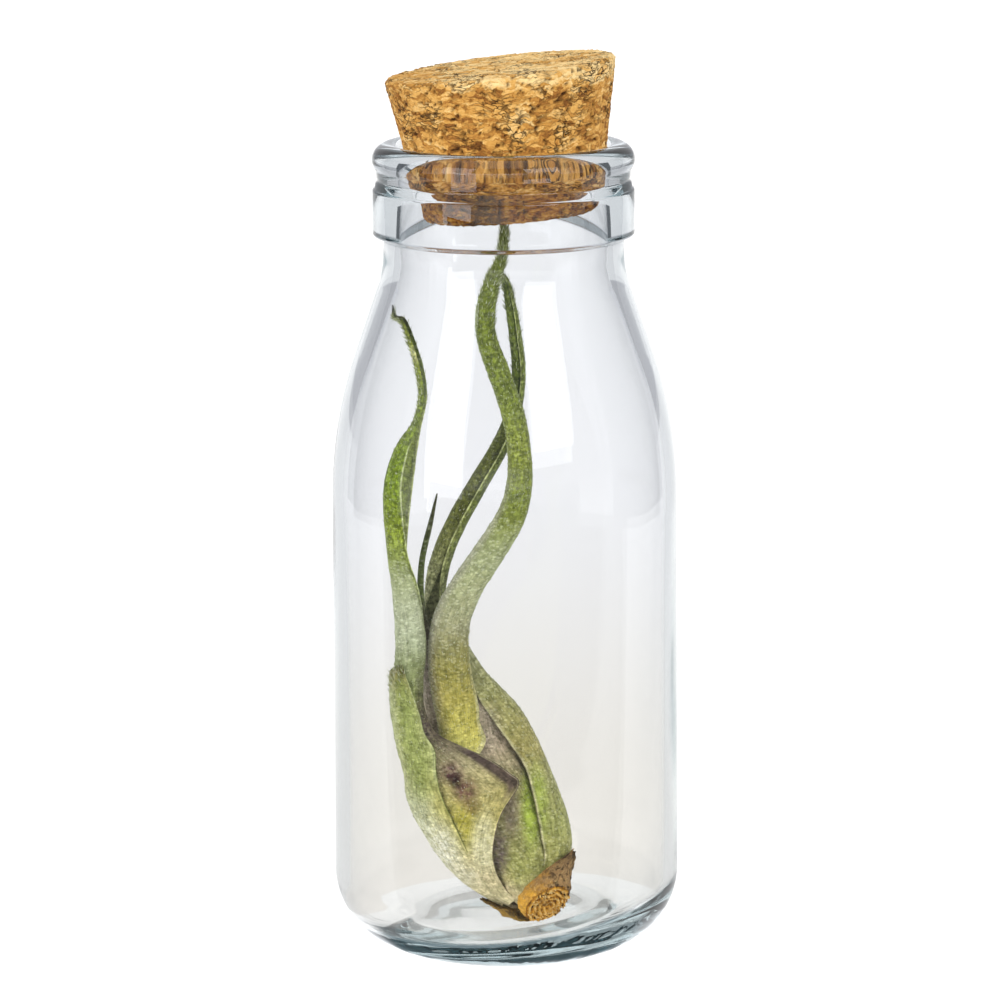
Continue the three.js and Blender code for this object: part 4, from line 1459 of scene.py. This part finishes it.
    def main_leaf(self) -> Leaf:
        """The long middle leaf, convex to the front, that winds up to the cork.

        Returns:
            The leaf.
        """
        wrap = self.bulb.sheath
        sections = [
            wrap(1.9, -100, -42, 0.7, 2.1),
            wrap(2.6, -90, -32, 0.7, 2.1),
            wrap(3.4, -76, -16, 0.7, 2.1),
            wrap(4.2, -60, -2, 0.7, 2.1),
            wrap(4.9, -46, 4, 0.7, 2.5),
        ] + blade(
            (-7.4, -8.7, 37.2, 3.9, -70, 70, 0.8, -10, 6),
            (-8.0, -8.6, 41.5, 3.6, -84, 84, 0.8, -6, 5),
            (-8.9, -8.4, 46.5, 3.4, -95, 92, 0.8, -5, 4),
            (-9.2, -7.9, 52.0, 3.2, -105, 100, 0.8, 4, 4),
            (-8.3, -7.5, 56.7, 2.95, -115, 108, 0.8, 24, 4),
            (-6.1, -7.1, 61.2, 2.6, -120, 112, 0.8, 34, 4),
            (-3.4, -6.7, 65.3, 2.5, -120, 115, 0.8, 36, 4),
            (-0.9, -6.3, 69.2, 2.4, -120, 118, 0.75, 32, 4),
            (1.2, -5.9, 73.2, 2.25, -122, 120, 0.75, 22, 4),
            (2.3, -5.5, 77.6, 2.1, -122, 122, 0.7, 8, 5),
            (2.4, -5.0, 82.0, 1.95, -122, 122, 0.7, -2, 5),
            (1.8, -4.4, 87.0, 1.9, -122, 122, 0.65, -14, 6),
            (0.4, -3.7, 92.0, 1.8, -122, 122, 0.65, -20, 6),
            (-1.4, -3.1, 96.8, 1.75, -122, 122, 0.6, -22, 6),
            (-2.9, -2.6, 101.4, 1.6, -122, 122, 0.6, -12, 5),
            (-2.9, -2.2, 105.8, 1.55, -122, 122, 0.5, 12, 4),
            (-1.8, -1.9, 110.0, 1.3, -122, 122, 0.4, 16, 3),
            (-0.6, -1.7, 113.6, 1.0, -122, 122, 0.3, 12, 2),
            (-0.05, -1.6, 117.2, 0.75, -122, 122, 0.25, 6, 1),
            (0.1, -1.5, 120.0, 0.35, -122, 122, 0.12, 2, 1),
        )
        outer = LeafFinish(
            "main_leaf_outer",
            heights=((30, "#E2DC98"), (35, "#DDD676"), (39, "#C9C060"), (44, "#B2A854"),
                     (49, "#948E48"), (55, "#98966A"), (60, "#9DA06C"), (66, "#9AA268"),
                     (71, "#8B9548"), (76, "#727E22"), (83, "#858F3A"), (92, "#788532"),
                     (102, "#727F26"), (112, "#6F7C2E"), (120, "#5E672E")),
            bands=(
                # Greyish-lilac lower left edge: partly the leaf's own colour, partly painted shade
                # beside the left leaf.
                Band((-1.0, 0.30), (0.20, 0.46), "#7C7262", 0.75, 0.11),
                Band((0.88, 2.0), (0.06, 0.30), "#E2DCA8", 0.85, 0.05),
                Band((-1.0, 0.08), (0.06, 0.21), "#E2DCB4", 0.85, 0.04),
                Band((-1.0, 0.30), (0.40, 0.58), "#B7B49E", 0.65, 0.09),
                Band((0.80, 2.0), (0.40, 0.60), "#83942A", 0.6, 0.06),
            ))
        inner = LeafFinish(
            "main_leaf_inner",
            heights=((30, "#7A7040"), (60, "#6F7F45"), (120, "#5A7726")), frost=0.3)
        return Leaf("leaf_main_blade", "leaf_main", "leaf_olive", sections,
                    {Face.OUTER: outer, Face.INNER: inner},
                    frost=lambda across, along, height: (
                        0.45 + 0.8 * smooth_step(44, 58, height) * (1 - smooth_step(66, 78, height))
                        + 0.5 * smooth_step(0.4, 0.1, across)),
                    bristles=Bristles(2600))

    def inner_leaf(self) -> Leaf:
        """The purplish sheath between the others, whose blade is a short thin spike.

        Returns:
            The leaf.
        """

        def wrap(level: float, start: float, end: float, wall: float = 0.6, inset: float = 3.5,
                 shift: float = 0.7) -> Section:
            """A section of this sheath, moved to the front right."""
            return self.bulb.sheath(level, start, end, wall, inset, shift, 60)

        sections = [
            wrap(0.55, -84, 110, 0.4, 1.3, 0.1),
            wrap(1.1, -72, 110, 0.5, 2.0, 0.2),
            wrap(1.6, -66, 112, 0.55, 2.8, 0.5),
            wrap(2.2, -64, 112, inset=3.3),
            wrap(3.0, -70, 112),
            wrap(4.0, -74, 112),
            wrap(4.7, -76, 110),
        ] + blade(
            (-6.3, -4.6, 35.2, 7.0, -84, 110, 0.6, -22, 6, 0.85),
            (-7.0, -4.6, 40.0, 6.4, -95, 115, 0.6, -20, 5, 0.75),
            (-9.3, -4.4, 44.6, 4.3, -105, 115, 0.6, -18, 4, 0.8),
            (-12.0, -4.3, 49.5, 1.7, -110, 110, 0.55, -14, 3),
            (-13.1, -4.5, 54.0, 0.9, -110, 100, 0.45, -10, 2),
            (-13.6, -4.6, 58.5, 0.6, -110, 100, 0.35, -2, 2),
            (-13.4, -4.4, 64.5, 0.5, -110, 100, 0.3, 10, 3),
            (-12.1, -4.0, 70.5, 0.42, -110, 100, 0.22, 14, 4),
            (-10.9, -3.6, 76.0, 0.14, -110, 100, 0.08, 12, 4),
        )
        outer = LeafFinish(
            "inner_leaf_outer",
            heights=((9, "#E2D2A0"), (12, "#CFC488"), (16, "#A6A862"), (22, "#97965E"),
                     (30, "#A09A6A"), (36, "#C6B49C"), (44, "#B8AA9A"), (52, "#7A7268"),
                     (60, "#62703A"), (75, "#45482A")),
            spots=(
                # Purple-grey patches right of the front wrap's margin: partly the leaf's own
                # purple, partly painted shade under that margin.
                Spot((-1.2, -14.0, 18.5), (2.4, 8.0, 6.5), "#6E5C62", 0.9),
                Spot((0.6, -14.0, 25.0), (2.0, 8.0, 6.0), "#7E6E66", 0.8),
                Spot((1.0, -15.0, 11.5), (4.0, 8.0, 3.2), "#E2D2AE", 0.9),
                Spot((2.2, -14.0, 15.0), (2.6, 8.0, 5.0), "#A0A45C", 0.7),
                Spot((4.0, -14.0, 26.5), (2.3, 8.0, 10.5), "#AAC04A", 1.0),
                # Painted light: a pale patch that lifts the shaded hollow between the main leaf and
                # the back sheath's margin.
                Spot((-3.0, -11.0, 38.0), (3.4, 8.0, 5.0), "#CDBFAA", 0.8),
            ),
            frost=0.35)
        return Leaf("leaf_inner_blade", "leaf_inner", "leaf_purple", sections,
                    {Face.OUTER: outer, Face.INNER: outer})

    def short_leaf(self) -> Leaf:
        """The short outermost leaf that clasps the left side and ends in a point.

        Returns:
            The leaf.
        """
        wrap = self.bulb.sheath
        sections = [
            wrap(0.9, -146, -72, 0.4, 0.0),
            wrap(1.6, -146, -56, 0.5, -0.1),
            wrap(2.4, -146, -44, 0.5, -0.1),
            wrap(3.2, -144, -34, 0.5, -0.1),
            wrap(4.0, -142, -29, 0.5, -0.1, ridge=0.4),
            wrap(4.7, -138, -27, 0.5, -0.1, ridge=0.7),
        ] + blade(
            (-8.4, -8.6, 33.4, 8.6, -136, -18, 0.45, -20, 5),
            (-11.2, -9.7, 35.6, 6.3, -134, 0, 0.45, -15, 4),
            (-13.7, -10.3, 37.8, 4.2, -132, 14, 0.45, -10, 4),
            (-15.1, -10.1, 41.2, 3.3, -126, 26, 0.45, -4, 3),
            (-15.35, -9.9, 44.5, 3.2, -112, 12, 0.4, -3, 2),
            (-15.4, -9.6, 47.4, 3.15, -88, -6, 0.3, -2, 2),
            (-15.3, -9.4, 49.2, 3.1, -32, -20, 0.18, -2, 2),
        )
        outer = LeafFinish(
            "short_leaf_outer",
            heights=((8, "#E2D8B0"), (14, "#DDD2A8"), (20, "#CCC586"), (27, "#BDB972"),
                     (33, "#B4BA78"), (40, "#ACB372"), (45, "#A6AC6C"), (48, "#9A965C"),
                     (49.2, "#6A5A30"), (50, "#46371C")),
            spots=SHEATH_SPOTS + (Spot((-13.2, -12.0, 30.5), (2.6, 8.0, 5.0), "#8F9A40", 0.6),),
            bands=(
                Band((0.60, 0.9), (0.36, 0.94), "#86983F", 0.55, 0.1),
                Band((0.97, 2.0), (0.45, 2.0), "#B9BF8A", 0.8, 0.02),
            ))
        inner = LeafFinish(
            "short_leaf_inner", heights=((10, "#9A9A60"), (50, "#6F8A40")), frost=0.3)
        return Leaf("leaf_short_blade", "leaf_short", "leaf_pale", sections,
                    {Face.OUTER: outer, Face.INNER: inner},
                    frost=lambda across, along, height: 1.2 - 0.8 * smooth_step(0.45, 0.8, across),
                    tuck=lambda across, along: (
                        0.95 * smooth_step(0.72, 1.0, across) * (1 - smooth_step(0.2, 0.4, along))),
                    bristles=Bristles(900))

    def right_scale(self) -> Leaf:
        """The torn dry triangle that stands up at the right of the base.

        Returns:
            The leaf.
        """
        wrap = self.bulb.sheath
        sections = [
            wrap(0.0, -70, 128, 0.5, -0.2),
            wrap(0.35, -46, 122, 0.5, -0.15),
            wrap(0.7, 8, 116, 0.5, -0.2),
            wrap(1.08, 56, 106, 0.5, -0.6),
            wrap(1.45, 80, 92, 0.3, -1.0),
        ]
        return Leaf("dry_scale_right_torn", "dry_scale_right", "dry_scale", sections,
                    {Face.OUTER: DryFinish("dry_scale_right_paper")}, rows_per_section=12,
                    columns=90, relief=0.34, ruffle=0.3, raggedness=0.22)

    def left_scale(self) -> Leaf:
        """The torn dry remains at the left of the base.

        Returns:
            The leaf.
        """
        wrap = self.bulb.sheath
        sections = [
            wrap(0.15, -156, -66, 0.45, -0.8),
            wrap(0.5, -148, -68, 0.45, -0.8),
            wrap(0.9, -136, -72, 0.45, -0.95),
            wrap(1.3, -120, -78, 0.45, -0.95),
            wrap(1.6, -102, -92, 0.3, -0.95),
        ]
        return Leaf("dry_scale_left_torn", "dry_scale_left", "dry_scale", sections,
                    {Face.OUTER: DryFinish("dry_scale_left_paper", low="#B08A38", middle="#9A8444",
                                           high="#C08A30", gold_end=0.0, brown_start=4.0)},
                    rows_per_section=10, columns=50, relief=0.25, ruffle=0.3, raggedness=0.16)

    def build(self) -> None:
        """Builds every piece of the plant."""
        for leaf in (self.left_leaf(), self.back_leaf(), self.main_leaf(), self.inner_leaf(),
                     self.short_leaf(), self.right_scale(), self.left_scale()):
            leaf.build()
        StemStub(self.bulb).build()


@dataclass
class StemStub:
    """The plant's cut brown base with its rings of fibres."""

    bulb: Bulb
    finish: StubFinish = field(default_factory=StubFinish)
    end_radius: float = 3.8
    core_radius: float = 1.3
    core_top: float = 2.6
    sides: int = 120
    end_rings: int = 28
    side_rings: int = 40
    cup: float = 0.5
    ring_waves: float = 7.5
    ring_lift: float = 0.3
    rough_lift: float = 0.5
    rough_swell: float = 0.1
    fibres: int = 170
    fibre_length: Pair = (0.6, 1.15)
    fibre_foot: Pair = (0.08, 0.17)
    fibre_point: float = 0.02
    fibre_sides: int = 5
    fibre_sink: float = 0.45
    fibre_spread: Pair = (-0.3, 0.5)
    fibre_swirl: Pair = (-0.9, 0.9)
    fibre_tones: tuple[float, ...] = (-1.4, -0.6, 0.3, 1.0, 1.5)
    seed: int = 5

    def profile(self) -> list[Pair]:
        """The profile from the middle of the cut end to the core's top.

        Returns:
            (radius, share of the length) points.
        """
        end = [(self.end_radius * i / self.end_rings, 0.0) for i in range(self.end_rings)]
        side = [(self.end_radius + (self.core_radius - self.end_radius) * i / self.side_rings,
                 i / self.side_rings) for i in range(self.side_rings + 1)]
        return end + side + [(0.0, 1.0)]

    def build(self) -> bpy.types.Object:
        """Builds the stub: a turned body bent along the bulb's axis, with fibres.

        Returns:
            The stub.
        """
        body = turned(self.profile(), self.sides)
        tone = body.verts.layers.float.new("fibre")
        for vert in body.verts:
            x, y, share = vert.co / MM
            radius, angle = math.hypot(x, y), math.atan2(y, x)
            section = self.bulb.sheath(self.core_top * share, 0, 360, 1, 0)
            front, right = Section.axes(section.lean, section.back)
            up = right.cross(front)
            bend = 2.5 * noise.noise(Vector((x, y, 1)) * 0.9)
            ring = 0.5 + 0.5 * math.cos(radius * self.ring_waves + bend)
            ragged = noise.fractal(Vector((x * 2.2, y * 2.2, share * 14)), 0.5, 2.0, 4)
            at_end = 1 - smooth_step(0.0, 0.02, share)
            lift = at_end * (self.cup * smooth_step(self.end_radius, 0.5, radius)
                             + self.ring_lift * ring + self.rough_lift * ragged)
            swell = 1 + self.rough_swell * ragged * (1 - share)
            vert[tone] = at_end * ring
            vert.co = (Vector(section.at) + (right * math.sin(angle) + front * math.cos(angle))
                       * radius * swell + up * lift) * MM
        bmesh.ops.recalc_face_normals(body, faces=body.faces)
        self.add_fibres(body, tone)
        return finished("stem_stub_fibrous", body, "dry_stem", ["stem_stub"],
                        [self.finish.make()])

    def add_fibres(self, body: bmesh.types.BMesh, tone: Any) -> None:
        """Stands short torn fibres on the cut end.

        Args:
            body: The stub's mesh.
            tone: The vertex layer that says how pale a fibre is.
        """
        draw = random.Random(self.seed)
        section = self.bulb.sheath(0, 0, 360, 1, 0)
        front, right = Section.axes(section.lean, section.back)
        out = -right.cross(front)
        for _ in range(self.fibres):
            radius = self.end_radius * 0.95 * math.sqrt(draw.random())
            angle = draw.uniform(0, math.tau)
            spread = right * math.sin(angle) + front * math.cos(angle)
            root = Vector(section.at) + spread * radius - out * self.fibre_sink
            swirl = out.cross(spread) * draw.uniform(*self.fibre_swirl)
            way = (out + spread * draw.uniform(*self.fibre_spread) + swirl).normalized()
            length = draw.uniform(*self.fibre_length)
            spike(body, tone, root + way * length / 2, way, length,
                  (draw.uniform(*self.fibre_foot), self.fibre_point), self.fibre_sides,
                  draw.choice(self.fibre_tones), fan=True)


# ---------------------------------------------------------------- studio


def away_from(azimuth: float, elevation: float) -> Vector:
    """The way to an azimuth, 0 on the camera's side and 90 on the right, and an elevation."""
    a, e = math.radians(azimuth), math.radians(elevation)
    return Vector((math.sin(a) * math.cos(e), -math.cos(a) * math.cos(e), math.sin(e)))


def disc(radius: float, height: float) -> bmesh.types.BMesh:
    """A flat round sheet on the bottle's axis, in millimetres.

    Args:
        radius: Its radius.
        height: Its height.

    Returns:
        The sheet's mesh in metres.
    """
    body = bmesh.new()
    bmesh.ops.create_circle(body, cap_ends=True, radius=radius * MM, segments=DISC_SIDES)
    bmesh.ops.translate(body, verts=body.verts, vec=(0, 0, height * MM))
    return body


def stage_for_glass(name: str, body: bmesh.types.BMesh, s: Shading, seen: Socket) -> None:
    """Puts up a glowing sheet that only the glass sees.

    Args:
        name: Its name.
        body: Its mesh in metres.
        s: Its node tree.
        seen: The shader that shows on it.
    """
    s.feed(s.output.inputs["Surface"], seen)
    s.material.cycles.emission_sampling = "NONE"
    sheet = placed(name, body, [s.material])
    sheet.visible_camera = sheet.visible_diffuse = sheet.visible_shadow = False


@dataclass
class Softbox:
    """A rectangular soft light aimed at the bottle, in millimetres and degrees."""

    name: str
    azimuth: float
    elevation: float
    distance: float
    width: float
    height: float
    radiance: float
    colour: str = "#FFFFFF"

    def build(self, target: Point) -> None:
        """Hangs the light.

        Args:
            target: The point that it is aimed at.
        """
        away = away_from(self.azimuth, self.elevation)
        data = bpy.data.lights.new(self.name, "AREA")
        data.shape = "RECTANGLE"
        data.size, data.size_y = self.width * MM, self.height * MM
        data.energy = self.radiance * math.pi * data.size * data.size_y
        data.color = paint(self.colour)[:3]
        light = bpy.data.objects.new(self.name, data)
        light.location = (Vector(target) + away * self.distance) * MM
        light.rotation_euler = away.to_track_quat("Z", "Y").to_euler()
        bpy.context.scene.collection.objects.link(light)


@dataclass
class Card:
    """A plain card that only the glass mirrors, in millimetres and degrees."""

    name: str
    azimuth: float
    elevation: float
    distance: float
    width: float
    height: float
    tone: Colour

    def build(self, target: Point) -> None:
        """Stands the card up, facing the bottle.

        Args:
            target: The point that it faces.
        """
        away = away_from(self.azimuth, self.elevation)
        turn = away.to_track_quat("Z", "Y").to_matrix().to_4x4()
        sheet = bmesh.new()
        bmesh.ops.create_grid(sheet, x_segments=1, y_segments=1, size=0.5)
        bmesh.ops.scale(sheet, verts=sheet.verts, vec=(self.width * MM, self.height * MM, 1))
        place = Matrix.Translation((Vector(target) + away * self.distance) * MM)
        bmesh.ops.transform(sheet, verts=sheet.verts, matrix=place @ turn)
        s = Shading(self.name)
        glow = s.node("Emission", {"Color": self.tone, "Strength": 1.0}).outputs["Emission"]
        clear = s.node("BsdfTransparent").outputs["BSDF"]
        seen = s.node("MixShader", {0: s.mirrored(), 1: clear, 2: glow}).outputs["Shader"]
        stage_for_glass(self.name, sheet, s, seen)


@dataclass
class Studio:
    """Camera, floor, sky and lights round the bottle."""

    camera_at: Point = (-0.8, -757.0, 222.6)
    camera_aim: Point = (-0.8, 0.0, 73.8)
    roll: float = -0.27
    lens: float = 170.2
    sensor: float = 36.0
    camera_reach: float = 100.0
    floor_radius: float = 9000.0
    floor_level: float = -0.1
    glass_bounces: int = 96
    middle: Point = (0.0, 0.0, 75.0)
    low_card_at: Point = (0, -380, 75)
    front_low: Colour = (0.15, 0.15, 0.14, 1)
    front_floor: Colour = (0.16, 0.16, 0.15, 1)
    front_high: Colour = (0.20, 0.21, 0.24, 1)
    side_card: Colour = (0.12, 0.13, 0.14, 1)
    sky_low: Colour = (0.92, 0.93, 0.975, 1)
    sky_high: Colour = (1.05, 1.05, 1.05, 1)
    sky_top: float = 0.8
    backdrop: Colour = (1.22, 1.22, 1.22, 1)
    side_fall: Pair = (0.03, 0.42)
    side_dimming: float = 0.6
    foot_radius: float = 31.0
    foot_level: float = -0.05
    foot_edge: Pair = (18.5, 21.5)
    foot_front: Pair = (-14.0, -6.0)
    foot_white: Colour = (1.36, 1.40, 1.45, 1)
    foot_shadow_rim: Colour = (0.22, 0.30, 0.34, 1)
    behind_level: float = -0.08
    behind_aside: float = 12.0
    behind_away: float = 30.0
    behind_fall: Pair = (0.08, 0.42)
    behind_white: Colour = (1.27, 1.265, 1.255, 1)
    behind_sides: Colour = (0.88, 0.89, 0.90, 1)

    def place_camera(self) -> None:
        """Sets up the camera in front, a little above the bottle."""
        data = bpy.data.cameras.new("studio_camera")
        data.lens, data.sensor_width = self.lens, self.sensor
        data.clip_end = self.camera_reach
        camera = bpy.data.objects.new("studio_camera", data)
        away = Vector(self.camera_at) - Vector(self.camera_aim)
        roll = Matrix.Rotation(math.radians(self.roll), 3, "Z")
        camera.location = Vector(self.camera_at) * MM
        camera.rotation_euler = (away.to_track_quat("Z", "Y").to_matrix() @ roll).to_euler()
        bpy.context.scene.collection.objects.link(camera)
        bpy.context.scene.camera = camera

    def lay_floor(self) -> None:
        """Lays the pale floor just under the bottle's foot."""
        placed("studio_floor", disc(self.floor_radius, self.floor_level),
                        [FloorFinish().make()])

    def light_sky(self) -> None:
        """Gives the room its soft light, white behind the bottle and a little dimmer round it."""
        world = bpy.data.worlds.new("studio_room")
        bpy.context.scene.world = world
        s = Nodes(world)
        way = s.split(s.node("TexCoord").outputs["Generated"])
        path = s.node("LightPath").outputs
        dimming = s.spread(s.math("ABSOLUTE", way["X"]), *self.side_fall, 1.0, self.side_dimming)
        strength = s.node("Mix", {0: path["Glossy Depth"], 2: 1.0, 3: dimming}, clamp_factor=True)
        colour = s.ramp(way["Z"], [(0.0, self.sky_low), (self.sky_top, self.sky_high)])
        room = s.node("Background", {"Color": colour, "Strength": strength.outputs[0]})
        backdrop = s.node("Background", {"Color": self.backdrop})
        plain = s.most(path["Is Camera Ray"], path["Is Diffuse Ray"])
        shown = s.node("MixShader", {0: plain, 1: room.outputs["Background"],
                                     2: backdrop.outputs["Background"]})
        s.node("OutputWorld", {"Surface": shown.outputs["Shader"]})

    def light_foot(self) -> None:
        """Lays a glass-only disc under the foot: white, with a grey-blue rim of painted shadow."""
        s = Shading("card_under_foot")
        share = s.times(s.spread(s.length(s.place), *(edge * MM for edge in self.foot_edge)),
                        s.spread(s.split(s.place)["Y"], *(y * MM for y in self.foot_front), 1, 0))
        share = s.times(share, s.plus(s.times(s.mirrored(), 0.7), 0.3))
        # Painted shadow: the grey-blue rim stands for the shaded floor under the front of the foot.
        glow = s.node("Emission", {"Color": s.mix(share, self.foot_white, self.foot_shadow_rim)})
        stage_for_glass("card_under_foot", disc(self.foot_radius, self.foot_level), s,
                        glow.outputs["Emission"])

    def light_floor(self) -> None:
        """Lays a floor that only the glass sees: white behind the bottle, dimmer to the sides."""
        s = Shading("card_floor_behind")
        place = s.split(s.place)
        aside = s.math("SUBTRACT", s.math("ABSOLUTE", place["X"]), self.behind_aside * MM)
        away = s.plus(s.math("ABSOLUTE", place["Y"]), self.behind_away * MM)
        share = s.times(s.spread(s.math("DIVIDE", aside, away), *self.behind_fall),
                        s.plus(s.times(s.mirrored(), 0.6), 0.4))
        glow = s.node("Emission", {"Color": s.mix(share, self.behind_white, self.behind_sides)})
        stage_for_glass("card_floor_behind", disc(self.floor_radius, self.behind_level), s,
                        glow.outputs["Emission"])

    def trace_glass(self) -> None:
        """Lets light pass through the thick base as often as real glass does."""
        limits = bpy.context.scene.cycles
        limits.max_bounces = limits.transmission_bounces = self.glass_bounces
        limits.glossy_bounces = self.glass_bounces // 4

    def build(self) -> None:
        """Builds the whole studio."""
        self.place_camera()
        self.lay_floor()
        self.light_sky()
        self.trace_glass()
        Softbox("window_left", -41, 16, 700, 330, 520, 2.9).build(self.middle)
        Softbox("window_right", 34, 22, 700, 360, 330, 2.9).build(self.middle)
        Card("card_front_low", 0, -14, 380, 900, 190, self.front_low).build(self.middle)
        Card("card_front_floor", 0, -90, 74.4, 900, 700, self.front_floor).build(self.low_card_at)
        self.light_foot()
        self.light_floor()
        Card("card_front_high", 0, 22, 900, 1600, 560, self.front_high).build(self.middle)
        Card("card_left", -100, 0, 420, 420, 500, self.side_card).build(self.middle)
        Card("card_right", 100, 0, 420, 420, 500, self.side_card).build(self.middle)
        bpy.context.scene.view_settings.view_transform = "Standard"


def main() -> None:
    """Builds the bottle, its cork, the plant and the studio."""
    logging.basicConfig(level=logging.INFO, format="%(message)s")
    Studio().build()
    GlassBottle().build()
    CorkStopper().build()
    AirPlant().build()


if __name__ == "__main__":
    main()
